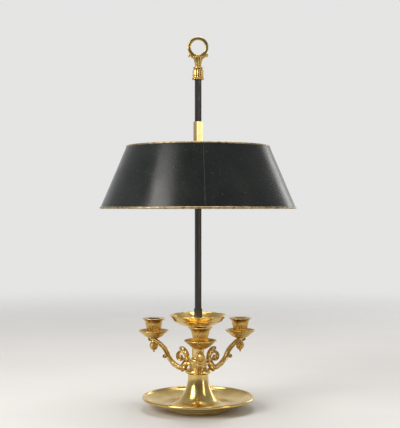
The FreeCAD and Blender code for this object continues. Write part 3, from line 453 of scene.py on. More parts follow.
def shade_lacquer():
    """Black-green lacquer outside, with scratches and rubbed spots; cream paint inside."""
    n = Nodes("shade_lacquer")
    geometry = n.add("ShaderNodeNewGeometry")
    place = n.add("ShaderNodeSeparateXYZ")
    n.link(geometry.outputs["Position"], place.inputs[0])
    level = n.add("ShaderNodeCombineXYZ")
    n.link(place.outputs["X"], level.inputs["X"])
    n.link(place.outputs["Y"], level.inputs["Y"])
    facing = n.add("ShaderNodeVectorMath", operation="DOT_PRODUCT")
    n.link(level.outputs[0], facing.inputs[0])
    n.link(geometry.outputs["True Normal"], facing.inputs[1])
    outside = n.math("GREATER_THAN", facing.outputs["Value"], 0.0)

    blacks = [(0.3, (0.0085, 0.0105, 0.010)), (0.7, (0.017, 0.021, 0.0195))]
    cloud = n.ramp(n.noise(16, 6), blacks)
    upright = n.noise(150, 3, stretch=(1, 1, 0.10), rough=0.75)
    scratches = n.ramp(upright, [(0.66, 0.0), (0.72, 1.0)])
    rubbed = n.mix(n.math("MULTIPLY", scratches, 0.5), cloud, (0.075, 0.075, 0.065))
    specks = n.ramp(n.noise(420, 2), [(0.69, 0.0), (0.73, 1.0)])
    lacquer = n.mix(n.math("MULTIPLY", specks, 0.6), rubbed, (0.20, 0.19, 0.17))
    cream = n.ramp(n.noise(24, 5), [(0.3, (0.66, 0.61, 0.49)), (0.7, (0.76, 0.72, 0.61))])
    colour = n.mix(outside, cream, lacquer)
    rough = n.ramp(n.noise(30, 6), [(0.3, 0.21), (0.7, 0.32)])
    waves = n.bump(n.noise(11, 3), 0.10, 0.004)
    normal = n.bump(n.noise(700, 3), 0.06, 0.0003, waves)
    return n.set(base=colour, rough=rough, metal=0.0, normal=normal, specular=0.38)


turned = gilt_turned()
carved = gilt_carved()
brass = sleeve_metal()
rim = rim_metal()
iron = rod_metal()
soot_and_shade = socket_soot_and_shade()
steel = plain_steel()
lacquer = shade_lacquer()

# The nodes that keep their own mesh
NODE_FINISH = {
    "foot_ring": turned,
    "base_washer": steel,
    "base_nut": steel,
    "arm_screws": steel,
    "cup_studs": steel,
    "sleeve": brass,
    "spider": turned,
    "thumb_screw": brass,
    "grip_pad": brass,
}
for node_name, material in NODE_FINISH.items():
    for slot in nodes[node_name].material_slots:
        slot.material = material


# Turned pieces of the foot and column


def base_dish():
    foot, top = low("base_dish"), high("base_dish")
    lip = 2.4
    rise = top - lip
    points = outline(
        (STACK_BORE, foot),
        (60, foot),
        (95.6, rise - lip, 75, "left"),
        (98, rise, lip, "left"),
        (95.6, top, lip, "left"),
        (93.3, rise + 0.5, lip, "left"),
        (92.2, rise - 1.4, 3, "right"),
        (60, foot + 3, 70, "right"),
        (STACK_BORE, foot + 3),
    )
    finish_mesh("dish", lathe_mesh("dish", points), "base", turned, ["base_dish"])


def trumpet_foot():
    floor, top = low("trumpet_foot"), high("trumpet_foot")
    points = outline(
        (STACK_BORE, floor),
        (50, floor),
        (50, floor + 0.8),
        (29.9, floor + 11.5, 26.7, "right"),
        (17.7, top - 3, 65.3, "right"),
        (17.7, top),
        (STACK_BORE, top),
    )
    finish_mesh("trumpet", lathe_mesh("trumpet", points), "base", turned, ["trumpet_foot"])


def collar():
    foot, top = low("collar_ring"), high("collar_ring")
    half = (top - foot) / 2
    radius = 22.8
    points = outline(
        (STACK_BORE, foot),
        (radius - half, foot),
        (radius, foot + half, half, "left"),
        (radius - half, top, half, "left"),
        (STACK_BORE, top),
    )
    finish_mesh("collar", lathe_mesh("collar", points), "base", turned, ["collar_ring"])


def upright_leaves(angle, z, foot, top, count, height):
    """Relief of a ring of pointed leaves with a middle rib, standing from foot to top."""
    share = (z - foot) / (top - foot)
    if share <= 0.02 or share >= 0.98:
        return 0.0
    local = across_petal(angle, count)
    width = 0.92 * math.sin(math.pi * min(0.5 + share * 0.5, 0.985)) ** 0.6
    leaf = unit((1 - abs(local) / max(width, 0.05)) * 3.0)
    rib = 0.55 * ridge(local, 0.10)
    veins = 0.22 * math.cos(abs(local) * 9 - share * 16) * leaf
    between = 0.4 * max(0.0, 1 - leaf * 2) * ridge(1 - abs(local), 0.12)
    return height * (leaf * 0.6 + rib * leaf + veins + between)


def drum():
    foot, top = low("drum"), high("drum")
    wall, edge = 14.3, 15.4
    points = refined(
        outline(
            (STACK_BORE, foot),
            (edge, foot),
            (edge, foot + 1.4),
            (wall, foot + 2.2, 0.9, "right"),
            (wall, top - 2.2),
            (edge, top - 1.4, 0.9, "right"),
            (edge, top),
            (STACK_BORE, top),
        ),
        spacing=0.3,
    )

    def relief(angle, r, z):
        if r < wall - 0.3:
            return 0.0
        return upright_leaves(angle, z, foot + 2.4, top - 2.0, count=9, height=0.75)

    mesh = lathe_mesh("drum_body", points, relief, segments=360)
    finish_mesh("drum_body", mesh, "base", carved, ["drum"], sharp=50)


def neck():
    foot, top = low("neck") + 2.0, high("neck")
    points = outline(
        (STACK_BORE, foot),
        (NECK_BEAD_RADIUS - 1.5, foot),
        (NECK_BEAD_RADIUS, foot + 1.5, 1.5, "left"),
        (NECK_BEAD_RADIUS - 1.5, foot + 3, 1.5, "left"),
        (13.9, foot + 3),
        (10.7, foot + 6.2, 3.2, "right"),
        (10.7, foot + 22),
        (7.2, top - 2.8),
        (8.6, top - 1.4, 2.2, "right"),
        (8.6, top),
        (STACK_BORE, top),
    )
    finish_mesh("neck_column", lathe_mesh("neck_column", points), "base", turned, ["neck"])


def drip_tray():
    foot, top = low("drip_tray"), high("drip_tray")
    bowl = foot + 11.8
    points = outline(
        (STACK_BORE, foot),
        (8.6, foot),
        (10.4, foot + 1.4, 3, "right"),
        (41.5, bowl, 49, "left"),
        (42.1, bowl + 0.3),
        (50, top - 0.9, 60, "right"),
        (49.1, top, 0.9, "left"),
        (48.2, top - 0.9, 0.9, "left"),
        (40.4, bowl + 0.9, 60, "left"),
        (10.4, foot + 3.42, 47.2, "right"),
        (STACK_BORE, foot + 3.42),
    )
    finish_mesh("tray", lathe_mesh("tray", points), "base", turned, ["drip_tray"])


# Rod and ferrule: square bars with eased edges, and the round tie under the rod


def square_bar(name, half, foot, top, ease, replaced):
    """Square iron bar along Z, turned like the rod, with eased edges."""
    work = bmesh.new()
    bmesh.ops.create_cube(work, size=1.0)
    bmesh.ops.scale(work, vec=(2 * half * MM, 2 * half * MM, (top - foot) * MM), verts=work.verts)
    bmesh.ops.translate(work, vec=(0, 0, (foot + top) / 2 * MM), verts=work.verts)
    upright = [e for e in work.edges if abs(e.verts[0].co.z - e.verts[1].co.z) > MM]
    bmesh.ops.bevel(work, geom=upright, offset=ease * MM, segments=3, affect="EDGES", profile=0.5)
    bmesh.ops.rotate(work, matrix=Matrix.Rotation(ROD_TURN, 3, "Z"), verts=work.verts)
    mesh = bpy.data.meshes.new(name)
    work.to_mesh(mesh)
    work.free()
    finish_mesh(name, mesh, "base", iron, replaced, sharp=20)


def rod_and_ferrule():
    foot = low("rod_ferrule")
    rod_end = high("rod") - 9.5
    square_bar("rod_bar", 4.5, foot, rod_end, 0.7, ["rod"])
    square_bar("ferrule_bar", 5.5, foot, high("rod_ferrule"), 0.8, ["rod_ferrule"])
    tie_foot, tie_radius = low("rod"), 3
    points = outline((0, tie_foot), (tie_radius, tie_foot), (tie_radius, foot), (0, foot))
    tie = lathe_mesh("rod_tie", points, segments=48, closed=False)
    finish_mesh("rod_tie", tie, "base", steel)


# Finial: petal cup, beads, calyx and ring


def petal_cup():
    foot, top = low("finial_cup"), high("finial_cup")
    petals = 8
    bead_reach, bead_radius, bead_rise = 9.5, 0.9, 0.95
    points = refined(
        outline(
            (6.7, foot + 0.4),
            (9.3, foot + 0.3),
            (10.6, foot + 1.6, 1.3, "left"),
            (9.9, foot + 3.2, 2, "left"),
            (9.2, foot + 5.6, 5, "right"),
            (9.3, top - 4.6, 40, "left"),
            (7.0, top - 0.5, 4.2, "left"),
            (3, top),
            (3, foot + 4),
            (6.7, foot + 4),
        ),
        spacing=0.35,
    )

    def relief(angle, r, z):
        if r < 7.5:
            return 0.0
        share = (z - foot) / (top - foot)
        local = across_petal(angle, petals)
        groove = 1.25 * (dome(local) - 1) * (0.45 + 0.55 * min(1.0, (1 - share) * 6 + 0.3))
        scallop = -0.5 * (1 - math.cos(math.pi * local)) * max(0.0, 1 - share * 9)
        return groove + scallop + 0.15 * ridge(local, 0.12)

    cup = lathe_mesh("petal_cup", points, relief, segments=320, turn=ROD_TURN)
    beads = []
    for k in range(petals):
        angle = ROD_TURN + 2 * math.pi * k / petals
        spot = (bead_reach * math.cos(angle), bead_reach * math.sin(angle), foot + bead_rise)
        beads.append(ball_mesh("bead", spot, bead_radius, detail=2))
    mesh = joined("petal_cup", [cup] + beads)
    finish_mesh("petal_cup", mesh, "base", carved, ["finial_cup"], sharp=55)


def calyx_mesh(foot, calyx_top):
    """Bead, waist and flared leaves under the ring."""
    waist_top, leaf_foot = foot + 7.4, foot + 3.6
    flattening = 0.35
    stem = refined(
        outline(
            (0, foot),
            (7.0, foot),
            (8.6, foot + 1.65, 1.65, "left"),
            (7.0, foot + 3.3, 1.65, "left"),
            (6.0, foot + 3.5),
            (5.0, foot + 6.4, 4, "right"),
            (5.6, waist_top),
            (9.8, calyx_top - 2.0, 34, "right"),
            (8.8, calyx_top - 0.4, 1.6, "left"),
            (0, calyx_top),
        ),
        spacing=0.3,
    )

    def relief(angle, r, z):
        if z < leaf_foot or r < 3:
            return 0.0
        share = min(1.0, (z - leaf_foot) / (calyx_top - leaf_foot))
        local = across_petal(angle, 8)
        leaf = 0.9 * (dome(local) - 0.7)
        rib = 0.35 * ridge(local, 0.13)
        return (leaf + rib) * (0.35 + 0.65 * share)

    calyx = lathe_mesh("calyx", stem, relief, segments=256, closed=False)

    # The calyx is flattened front to back, as the ring above it is.
    for vertex in calyx.vertices:
        if vertex.co.z > waist_top * MM:
            share = (vertex.co.z / MM - waist_top) / (calyx_top - waist_top)
            vertex.co.y *= 1 - flattening * share
    return calyx


def ring_section():
    """Section of the ring's band, channelled front and back, as (outward, sideways) in mm."""
    corners = 40
    half_band, half_thickness = 2.87, 2.5
    section = []
    for c in range(corners):
        a = 2 * math.pi * c / corners
        outward = half_band * squared(math.cos(a), 0.7)
        channel = 0.5 * ridge(outward, 1.5, power=4)
        section.append((outward, (half_thickness - channel) * squared(math.sin(a), 0.5)))
    return section


def side_leaf(side, calyx_top):
    """Leaf that hugs a lower quarter of the ring and rolls outwards, with the knob at its tip."""
    guide = [
        (3.0, calyx_top - 4.0),
        (8.0, calyx_top - 3.2),
        (11.8, calyx_top - 0.4),
        (14.8, calyx_top + 2.6),
        (16.2, calyx_top + 2.0),
        (16.6, calyx_top + 0.2),
        (15.6, calyx_top - 0.9),
        (14.8, calyx_top - 0.2),
    ]
    path = smooth_path(in_plane([(side * x, z) for x, z in guide]), 36)
    sections = []
    for k in range(len(path)):
        share = k / (len(path) - 1)
        width = 6.4 * (0.6 + 0.4 * math.sin(math.pi * min(1, share * 1.1)))
        half_depth = 2.3 - 1.2 * share
        sections.append(oval_section(half_depth, width / 2, 20, 0.8))
    leaf = sweep_mesh("side_leaf", path, plane_frames(path), sections)
    knob = ball_mesh("side_knob", (side * 15.7, 0, calyx_top + 0.3), 1.5, (1, 1.7, 1))
    return [leaf, knob]


def ring_handle():
    foot = high("finial_cup")
    calyx_top = foot + 22.3
    calyx = calyx_mesh(foot, calyx_top)

    ring_radius, steps = 15.5, 128
    ring_centre = Vector((0, 0, foot + 37.5))
    path, frames = [], []
    for step in range(steps + 1):
        a = 2 * math.pi * step / steps
        out = Vector((math.cos(a), 0, math.sin(a)))
        path.append(ring_centre + out * ring_radius)
        frames.append((out, ACROSS))
    ring = sweep_mesh("ring_band", path, frames, [ring_section()] * len(path), cap=False)
    finish_mesh("ring_band", ring, "base", turned, sharp=60)

    handle = joined("lifting_ring", [calyx] + side_leaf(1, calyx_top) + side_leaf(-1, calyx_top))
    finish_mesh("lifting_ring", handle, "base", carved, ["ring_handle"], sharp=60)


# Paths and sections for the swept pieces


def in_plane(points):
    """Points (x, z) in the plane y = 0."""
    return [Vector((x, 0, z)) for x, z in points]


def smooth_path(guide, count):
    """Even points along a Catmull-Rom curve through the guide points."""
    steps = 24
    ends = [guide[0] * 2 - guide[1]] + guide + [guide[-1] * 2 - guide[-2]]
    fine = []
    for k in range(1, len(ends) - 2):
        a, b, c, d = ends[k - 1:k + 3]
        for step in range(steps):
            t = step / steps
            fine.append(0.5 * ((2 * b) + (c - a) * t + (2 * a - 5 * b + 4 * c - d) * t**2
                               + (3 * b - a - 3 * c + d) * t**3))
    fine.append(guide[-1])
    lengths = [0.0]
    for begin, end in zip(fine, fine[1:]):
        lengths.append(lengths[-1] + (end - begin).length)
    even, index = [], 0
    for k in range(count):
        target = lengths[-1] * k / (count - 1)
        while index < len(lengths) - 2 and lengths[index + 1] < target:
            index += 1
        run = lengths[index + 1] - lengths[index]
        even.append(fine[index].lerp(fine[index + 1], (target - lengths[index]) / max(run, 1e-9)))
    return even


def plane_frames(path):
    """Directions out of the bend and across, for each point of a path in the plane y = 0."""
    frames = []
    for k in range(len(path)):
        along = (path[min(k + 1, len(path) - 1)] - path[max(k - 1, 0)]).normalized()
        frames.append((ACROSS.cross(along) * -1, ACROSS))
    return frames


def oval_section(half_depth, half_width, corners, power):
    """Section between an oval and a rectangle, as (outward, sideways) in mm."""
    section = []
    for c in range(corners):
        a = 2 * math.pi * c / corners
        outward = half_depth * squared(math.cos(a), power)
        section.append((outward, half_width * squared(math.sin(a), power)))
    return section


def ridged_section(depth, width):
    """Bar with rounded back and belly and a channel with a bead in it down each side."""
    corners = 48
    section = []
    for c in range(corners):
        a = 2 * math.pi * c / corners
        outward = depth / 2 * squared(math.cos(a), 0.8)
        channel = ridge(outward, depth * 0.20, power=4)
        bead = ridge(outward, depth * 0.075)
        sideways = width / 2 * squared(math.sin(a), 0.62)
        section.append((outward, sideways * (1 - 0.32 * channel + 0.19 * bead)))
    return section


def leaf_mesh(name, path, frames, spread, wrap, thickness, lobes, stand_off):
    """Acanthus leaf laid along a path: a lobed, ribbed shell that wraps round what it lies on.

    spread is the half width in mm, wrap how far the edges turn back in radians, and stand_off the
    distance from the path to the underside of the leaf.
    """
    rows, columns = len(path), 25
    upper, lower = [], []
    for k, (point, (outward, sideways)) in enumerate(zip(path, frames)):
        share = k / (rows - 1)
        swell = math.sin(math.pi * (0.10 + 0.80 * share)) ** 0.7
        lobe = abs(math.sin(math.pi * lobes * share))
        half = spread * swell * (0.74 + 0.26 * lobe)
        bend = wrap * swell
        radius = max(half / bend, 0.5)
        for c in range(columns):
            t = 2 * c / (columns - 1) - 1
            side = radius * math.sin(bend * t)
            drop = radius * (1 - math.cos(bend * t))
            rib = 0.55 * ridge(t, 0.10)
            vein = 0.32 * math.sin(math.pi * lobes * 2 * share - abs(t) * 4.2) * min(1.0, abs(t) * 3)
            curl = 0.9 * max(0.0, abs(t) - 0.6) ** 1.5 * lobe
            lift = stand_off + thickness * (0.8 - 0.35 * t * t) + (rib + vein + curl) * swell - drop
            upper.append(point + outward * lift + sideways * side)
            lower.append(point + outward * (stand_off - drop - 0.3) + sideways * side * 0.94)
    vertices = [tuple(v * MM) for v in upper + lower]

    under = rows * columns
    faces = []
    for k in range(rows - 1):
        for c in range(columns - 1):
            a = k * columns + c
            b, d, e = a + 1, a + columns + 1, a + columns
            faces.append((a, b, d, e))
            faces.append((under + e, under + d, under + b, under + a))
    last_row, last_column = rows - 1, columns - 1
    edges = []
    for k in range(last_row):
        edges += [(k * columns + c, (k + 1) * columns + c) for c in (0, last_column)]
    for c in range(last_column):
        edges += [(k * columns + c, k * columns + c + 1) for k in (0, last_row)]
    faces += [(a, b, under + b, under + a) for a, b in edges]
    mesh = bpy.data.meshes.new(name)
    mesh.from_pydata(vertices, [], faces)
    tidy_mesh(mesh)
    return mesh


# Arms


def arm_path(eye_z, arm_end):
    """Middle lines of an arm's stem, inwards from the pan, and of its scroll, in millimetres."""
    guide = [
        (ARM_REACH, arm_end + 3.4),
        (EYE_REACH + 49.6, eye_z + 25.0),
        (EYE_REACH + 32.5, eye_z + 11.3),
        (EYE_REACH + 23.0, eye_z - 4.0),
        (EYE_REACH + 11.8, eye_z - 14.4),
        (EYE_REACH - 0.6, eye_z - 17.6),
        (
            EYE_REACH + SCROLL_RADIUS * math.cos(SCROLL_START),
            eye_z + SCROLL_RADIUS * math.sin(SCROLL_START),
        ),
    ]
    stem = smooth_path(in_plane(guide), 90)
    scroll = []
    steps = 60
    for k in range(1, steps + 1):
        share = k / steps
        angle = SCROLL_START - share * 2 * math.pi
        radius = SCROLL_RADIUS - 8.2 * share
        scroll.append((EYE_REACH + radius * math.cos(angle), eye_z + radius * math.sin(angle)))
    return stem, in_plane(scroll)


def stem_sections(stem, scroll):
    """Sections of an arm: thinner towards the pan, and towards the eye of the scroll."""
    sections = []
    for k in range(len(stem)):
        share = k / (len(stem) - 1)
        swell = 0.66 + 0.34 * math.sin(math.pi * min(share * 1.25, 0.72))
        sections.append(ridged_section(ARM_WIDTH * swell, ARM_WIDTH))
    for k in range(len(scroll)):
        share = (k + 1) / len(scroll)
        depth, width = ARM_WIDTH * (0.74 - 0.28 * share), ARM_WIDTH * (1 - 0.15 * share)
        sections.append(ridged_section(depth, width))
    return sections


def rolled_leaf_tip(centre, radius, width, start):
    """A leaf's end rolled up on itself, as a short spiral band across the arm."""
    count = 36
    path, sections = [], []
    for k in range(count):
        share = k / (count - 1)
        angle = start + ROLL_SWEEP * share
        reach = radius * (1 - 0.62 * share)
        path.append(centre + Vector((reach * math.cos(angle), 0, reach * math.sin(angle))))
        sections.append(oval_section(0.75, width / 2 * (1 - 0.35 * k / (count - 1)), 20, 0.7))
    return sweep_mesh("rolled_tip", path, plane_frames(path), sections)


def arm_bosses(arm_end, arm_top):
    """The boss in the drum's socket, and the turned boss under the pan."""
    boss_radius, boss_length, boss_start = 3.4, 6.6, 12.9
    boss_outline = outline((0, 0), (boss_radius, 0), (boss_radius, boss_length), (0, boss_length))
    boss = lathe_mesh("boss", boss_outline, segments=48, closed=False)
    socket = Matrix.Translation((boss_start * MM, 0, (low("drum") + 7.8) * MM))
    boss.transform(socket @ Matrix.Rotation(math.radians(90), 4, "Y"))
    end_outline = outline(
        (0, arm_end),
        (4.6, arm_end),
        (5.3, arm_end + 1.4, 1.4, "left"),
        (4.7, arm_end + 3),
        (5.2, arm_end + 5, 3, "right"),
        (5.0, arm_top),
        (0, arm_top),
    )
    spot = (ARM_REACH * MM, 0)
    end_boss = lathe_mesh("end_boss", end_outline, segments=64, closed=False, centre=spot)
    return [boss, end_boss]


def make_arm(name, turn):
    """One scroll arm, made in the plane y = 0 with X away from the rod, and turned to its place."""
    eye_z = high("drum") + EYE_RISE
    arm_top = low("pan_front")
    arm_end = arm_top - 6.4
    stem, scroll = arm_path(eye_z, arm_end)
    path = stem + scroll
    frames = plane_frames(path)
    parts = [sweep_mesh("stem", path, frames, stem_sections(stem, scroll))]

    # Sheath under the lower stem, from its rolled tip round the bottom of the scroll.
    first, last = 38, 86
    sheath = leaf_mesh(
        "sheath",
        path[first:last],
        frames[first:last],
        spread=8.4,
        wrap=1.7,
        thickness=1.7,
        lobes=4,
        stand_off=3.6,
    )
    centre = path[first] + frames[first][0] * 6.8
    parts.append(sheath)
    parts.append(rolled_leaf_tip(centre, 3.7, 9.0, math.radians(110)))
    parts.append(ball_mesh("tip_seed", centre, 1.7, (1, 2.4, 1)))

    # Leaf behind the scroll, up the column.
    back_x = NECK_BEAD_RADIUS + 0.35
    guide = [
        (EYE_REACH - 1.5, eye_z - 24.2),
        (EYE_REACH - 8.0, eye_z - 18.4),
        (back_x + 3.2, eye_z - 9.0),
        (back_x + 2.4, eye_z + 2.6),
        (EYE_REACH - 10.4, eye_z + 10.4),
        (EYE_REACH - 5.0, eye_z + 15.2),
        (EYE_REACH - 1.2, eye_z + 15.8),
    ]
    back = smooth_path(in_plane(guide), 60)
    parts.append(
        leaf_mesh(
            "back_leaf",
            back,
            plane_frames(back),
            spread=8.2,
            wrap=1.9,
            thickness=1.8,
            lobes=5,
            stand_off=1.2,
        )
    )
    top = back[-1] + Vector((0.8, 0, -0.8))
    parts.append(rolled_leaf_tip(top, 3.2, 7.0, math.radians(120)))
    parts.append(ball_mesh("top_seed", top, 1.2, (1, 2.2, 1)))
    foot = back[0] + Vector((0.2, 0, 0.4))
    parts.append(ball_mesh("foot_seed", foot, 1.9, (1, 1.5, 1)))

    # Leaf at the outer end.
    guide = [
        (ARM_REACH - 3.0, arm_end + 3.0),
        (ARM_REACH + 2.5, arm_end + 2.4),
        (ARM_REACH + 6.6, arm_end + 2.6),
        (ARM_REACH + 9.6, arm_end + 4.4),
        (ARM_REACH + 10.4, arm_end + 6.6),
    ]
    end = smooth_path(in_plane(guide), 30)
    parts.append(
        leaf_mesh(
            "end_leaf",
            end,
            plane_frames(end),
            spread=4.4,
            wrap=0.8,
            thickness=1.2,
            lobes=3,
            stand_off=0.2,
        )
    )

    parts.append(ball_mesh("eye_seed", (EYE_REACH, 0, eye_z), 3.4, (1, 1.25, 1.15), detail=4))
    parts += arm_bosses(arm_end, arm_top)
    mesh = joined(f"scroll_arm_{name}", parts)
    mesh.transform(Matrix.Rotation(math.radians(turn), 4, "Z"))
    finish_mesh(f"scroll_arm_{name}", mesh, "base", carved, [f"arm_{name}"], sharp=60)


# Pans, cups and buds


def arm_spot(turn):
    """Middle of the candle at the end of an arm, in metres."""
    angle = math.radians(turn)
    return (ARM_REACH * MM * math.cos(angle), ARM_REACH * MM * math.sin(angle))


def make_pan(name, turn):
    foot, top = low(f"pan_{name}"), high(f"pan_{name}")
    points = refined(
        outline(
            (STUD_BORE, foot),
            (5, foot),
            (8, foot + 0.9, 3.4, "right"),
            (21, foot + 9.1, 40, "left"),
            (26.6, top - 1.6, 30, "left"),
            (27, top - 0.9),
            (26.2, top, 0.9, "left"),
            (25.2, top - 0.7, 1.2, "left"),
            (19.5, foot + 10.7, 30, "right"),
            (10, foot + 3.0),
            (STUD_BORE, foot + 3.0),
        ),
        spacing=0.6,
    )
    gadroons, inner, outer = 20, 6.0, 20.0

    def relief(angle, r, z):
        on_underside = z < foot + 2.2 + (r - 8) * 0.63
        if not on_underside or r <= inner or r > outer:
            return 0.0
        share = (r - inner) / (outer - inner)
        swell = math.sin(math.pi * min(1, share * 1.05)) ** 0.7
        return 0.5 * dome(across_petal(angle, gadroons)) * swell

    spot, facing = arm_spot(turn), math.radians(turn)
    mesh = lathe_mesh(f"pan_disc_{name}", points, relief, segments=240, centre=spot, turn=facing)
    finish_mesh(f"pan_disc_{name}", mesh, "base", carved, [f"pan_{name}"], sharp=50)


def make_cup(name, turn):
    foot, top = low(f"cup_{name}"), high(f"cup_{name}")
    height = top - foot
    waist, body = foot + height * 0.42, foot + height * 0.74
    floor = top - 23.2
    points = refined(
        outline(
            (STUD_BORE, foot),
            (9, foot),
            (12.3, waist, height * 0.8, "left"),
            (13.9, body - 3, height * 2, "right"),
            (19.2, top - 1.9, height * 0.5, "right"),
            (20.1, top - 0.9, 1.1, "left"),
            (19.0, top, 1.1, "left"),
            (CANDLE_BORE + 1, top - 0.5, 60, "left"),
            (CANDLE_BORE, top - 1.4, 1.0, "left"),
            (CANDLE_BORE, floor),
            (STUD_BORE, floor),
        ),
        spacing=0.45,
    )
    leaf_top = body + 1.5
    just_past_bore = CANDLE_BORE + 0.05

    def relief(angle, r, z):
        if z > leaf_top or r < CANDLE_BORE + 0.4 and z > floor - 1:
            return 0.0
        if r <= just_past_bore and z > foot + 6:
            return 0.0
        fade = unit((leaf_top - z) / 3) * unit((z - foot - 1) / 3)
        return fade * upright_leaves(angle, z, foot + 2, leaf_top, count=8, height=0.62)

    spot, facing = arm_spot(turn), math.radians(turn)
    mesh = lathe_mesh(f"candle_cup_{name}", points, relief, segments=280, centre=spot, turn=facing)
    finish_mesh(f"candle_cup_{name}", mesh, "base", carved, [f"cup_{name}"], sharp=50)

    # Soot and painted shade inside the bore
    mesh.materials.append(soot_and_shade)
    for polygon in mesh.polygons:
        near = (polygon.center.xy - Vector(spot)).length < just_past_bore * MM
        inside = near and polygon.center.z > (floor - 0.1) * MM
        polygon.material_index = 1 if inside else 0


def make_bud(name, turn):
    foot, top = low(f"pendant_{name}"), high(f"pendant_{name}")
    height = top - foot
    points = refined(
        outline(
            (0, foot),
            (1.7, foot + 1.7, 1.7, "left"),
            (1.2, foot + 2.9, 1.7, "left"),
            (2.2, foot + 3.6),
            (7.0, top - height * 0.42, height * 0.62, "left"),
            (6.9, top - height * 0.22, height * 0.3, "left"),
            (4.4, top, height * 0.32, "left"),
            (0, top),
        ),
        spacing=0.35,
    )
    sepals, tip = 4, 3.6

    def relief(angle, r, z):
        share = (z - foot - tip) / (top - foot - tip)
        if share < 0 or share > 0.97:
            return 0.0
        local = across_petal(angle, sepals)
        swell = math.sin(math.pi * max(0.02, share)) ** 0.6
        sepal = max(0.0, 1 - (abs(local) / (0.35 + 0.45 * share)) ** 2)
        rib = 0.3 * ridge(local, 0.1)
        seed = 0.35 * math.cos(z * 4.2) * (1 - sepal)
        return swell * (1.1 * sepal ** 0.5 + rib + seed * 0.5)

    spot, facing = arm_spot(turn), math.radians(turn + 45)
    mesh = lathe_mesh(
        f"bud_{name}", points, relief, segments=160, closed=False, centre=spot, turn=facing
    )
    finish_mesh(f"bud_{name}", mesh, "base", carved, [f"pendant_{name}"], sharp=60)


# Shade


def sheet_radius(z, low_z):
    """Radius of the middle of the sheet at a level."""
    return SHEET_FOOT_RADIUS - SHADE_SLOPE * (z - low_z)


def shade():
    low_z, high_z = low("shade_cone"), high("shade_cone")
    levels = 18
    outer = [Vector((sheet_radius(z, low_z) + SHEET_HALF, z)) for z in spaced(low_z, high_z, levels)]
    inner = [Vector((sheet_radius(z, low_z) - SHEET_HALF, z)) for z in spaced(high_z, low_z, levels)]

    def relief(angle, r, z):
        """Slow waves and small buckles that die out at the rims, and the step of the lap."""
        around = angle + SEAM_TURN
        out = r > sheet_radius(z, low_z)
        direction = Vector((math.cos(around), math.sin(around), 0)) * 2.2
        wave = 0.16 * noise.noise(direction + Vector((0, 0, z * 0.012)))
        buckle = 0.07 * noise.noise(direction * 4 + Vector((3.1, 0, z * 0.03)))
        edge = max(0.0, min(1.0, (z - low_z) / 6, (high_z - z) / 6))
        step = 0.0
        if out and angle < SEAM_ANGLE:
            rise = min(1.0, (SEAM_ANGLE - angle) / math.radians(2.0), angle / math.radians(0.12))
            step = 0.6 * rise * min(1.0, edge * 3)
        return (wave + buckle) * edge * (1 if out else -1) + step

    mesh = lathe_mesh("shade_sheet", outer + inner, relief, segments=1080, turn=SEAM_TURN)
    finish_mesh("shade_sheet", mesh, "shade_carriage", lacquer, ["shade_cone"], sharp=45)


def spaced(first, last, count):
    """Even levels from first to last."""
    return [first + (last - first) * k / (count - 1) for k in range(count)]


def bead(name, node, radius):
    """Wire bead with the small dents and flats of an old one."""
    inset = 0.06  # keeps the dented bead inside the solid's reach
    dent, corners = 0.06, 20
    level = (low(node) + high(node)) / 2
    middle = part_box(node)[1][0] / MM - radius - inset
    points = []
    for c in range(corners):
        a = 2 * math.pi * c / corners
        points.append(Vector((middle + radius * math.cos(a), level + radius * math.sin(a))))

    def relief(angle, r, z):
        spot = Vector((math.cos(angle), math.sin(angle), radius)) * 14
        return -dent * max(0.0, noise.noise(spot))

    mesh = lathe_mesh(name, points, relief, segments=480)
    finish_mesh(name, mesh, "shade_carriage", rim, [node])


base_dish()
trumpet_foot()
collar()
drum()
neck()
drip_tray()
rod_and_ferrule()
petal_cup()
ring_handle()
for arm_name, arm_turn in ARM_TURNS.items():
    make_arm(arm_name, arm_turn)
    make_pan(arm_name, arm_turn)
    make_cup(arm_name, arm_turn)
    make_bud(arm_name, arm_turn)
shade()
bead("bottom_bead", "shade_bottom_rim", 1.9)
bead("top_bead", "shade_top_rim", 1.5)


# Floor, light and camera


def floor():
    """Pale paper that fades into the background away from the lamp."""
    reach = 4.0
    fade_start, fade_end = 0.7, 2.6
    corners = [(-reach, -reach, 0), (reach, -reach, 0), (reach, reach, 0), (-reach, reach, 0)]
    mesh = bpy.data.meshes.new("floor")
    mesh.from_pydata(corners, [], [(0, 1, 2, 3)])
    piece = bpy.data.objects.new("floor", mesh)
    bpy.context.scene.collection.objects.link(piece)
    n = Nodes("floor_paper")
    grain = n.ramp(n.noise(3.0, 3), [(0.3, (0.72, 0.715, 0.705)), (0.7, (0.76, 0.755, 0.745))])
    away = n.add("ShaderNodeVectorMath", operation="LENGTH")
    n.link(n.place, away.inputs[0])
    fade = n.add("ShaderNodeMapRange", interpolation_type="SMOOTHSTEP")
    fade.inputs["From Min"].default_value = fade_start
    fade.inputs["From Max"].default_value = fade_end
    fade.inputs["To Min"].default_value = 1.0
    fade.inputs["To Max"].default_value = 0.0
    n.link(away.outputs["Value"], fade.inputs["Value"])
    n.link(fade.outputs["Result"], n.shader.inputs["Alpha"])
    mesh.materials.append(n.set(base=grain, rough=0.75, specular=0.2))


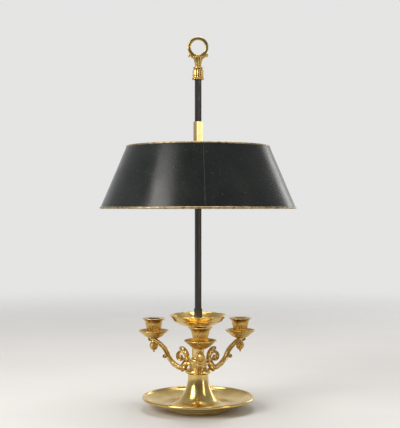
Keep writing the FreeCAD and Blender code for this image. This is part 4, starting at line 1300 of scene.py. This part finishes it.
def world():
    """Pale surroundings that are greyer behind the camera, so that polished metal has contrast."""
    surround = bpy.data.worlds.new("studio")
    surround.use_nodes = True
    tree = surround.node_tree
    place = tree.nodes.new("ShaderNodeTexCoord")
    parts = tree.nodes.new("ShaderNodeSeparateXYZ")
    spread = tree.nodes.new("ShaderNodeMapRange")
    spread.inputs["From Min"].default_value = -1
    ramp = tree.nodes.new("ShaderNodeValToRGB")
    fill_ramp(ramp.color_ramp, WORLD_COLOURS)
    tree.links.new(place.outputs["Generated"], parts.inputs[0])
    tree.links.new(parts.outputs["Y"], spread.inputs["Value"])
    tree.links.new(spread.outputs["Result"], ramp.inputs["Fac"])
    tree.links.new(ramp.outputs["Color"], tree.nodes["Background"].inputs["Color"])
    bpy.context.scene.world = surround


def softbox(name, place, aim, width, height, power):
    """Warm white area lamp, hidden from the camera; metres and watts."""
    lamp = bpy.data.lights.new(name, "AREA")
    lamp.shape = "RECTANGLE"
    lamp.size, lamp.size_y = width, height
    lamp.energy = power
    lamp.color = (1, 0.97, 0.93)
    holder = bpy.data.objects.new(name, lamp)
    holder.visible_camera = False
    holder.location = place
    holder.rotation_euler = (Vector(aim) - Vector(place)).to_track_quat("-Z", "Y").to_euler()
    bpy.context.scene.collection.objects.link(holder)


def camera():
    """Level camera at the photograph's height and distance."""
    focal_pixels, picture_height, sensor = 950, 428, 36
    lens = bpy.data.cameras.new("camera")
    lens.lens = focal_pixels / picture_height * sensor
    lens.sensor_width = sensor
    lens.shift_y = -4 / picture_height
    holder = bpy.data.objects.new("camera", lens)
    holder.location = (0.0033, -1.6625, 0.347)
    holder.rotation_euler = (math.radians(90), 0, 0)
    bpy.context.scene.collection.objects.link(holder)
    bpy.context.scene.camera = holder


# Name, place, aim, width, height and power of each lamp
LAMPS = [
    ("key", (-1.5, -1.3, 1.25), (0, 0, 0.2), 0.9, 1.3, 34),
    ("side", (1.6, -1.0, 0.7), (0, 0, 0.25), 0.4, 1.3, 6),
    ("edge", (1.35, 1.5, 0.6), (0, 0, 0.25), 0.5, 1.2, 4.5),
    ("top", (0.1, 0.3, 2.1), (0, 0, 0.2), 1.2, 1.2, 22),
]

floor()
world()
for lamp_settings in LAMPS:
    softbox(*lamp_settings)
camera()
bpy.context.scene.view_settings.view_transform = "Standard"
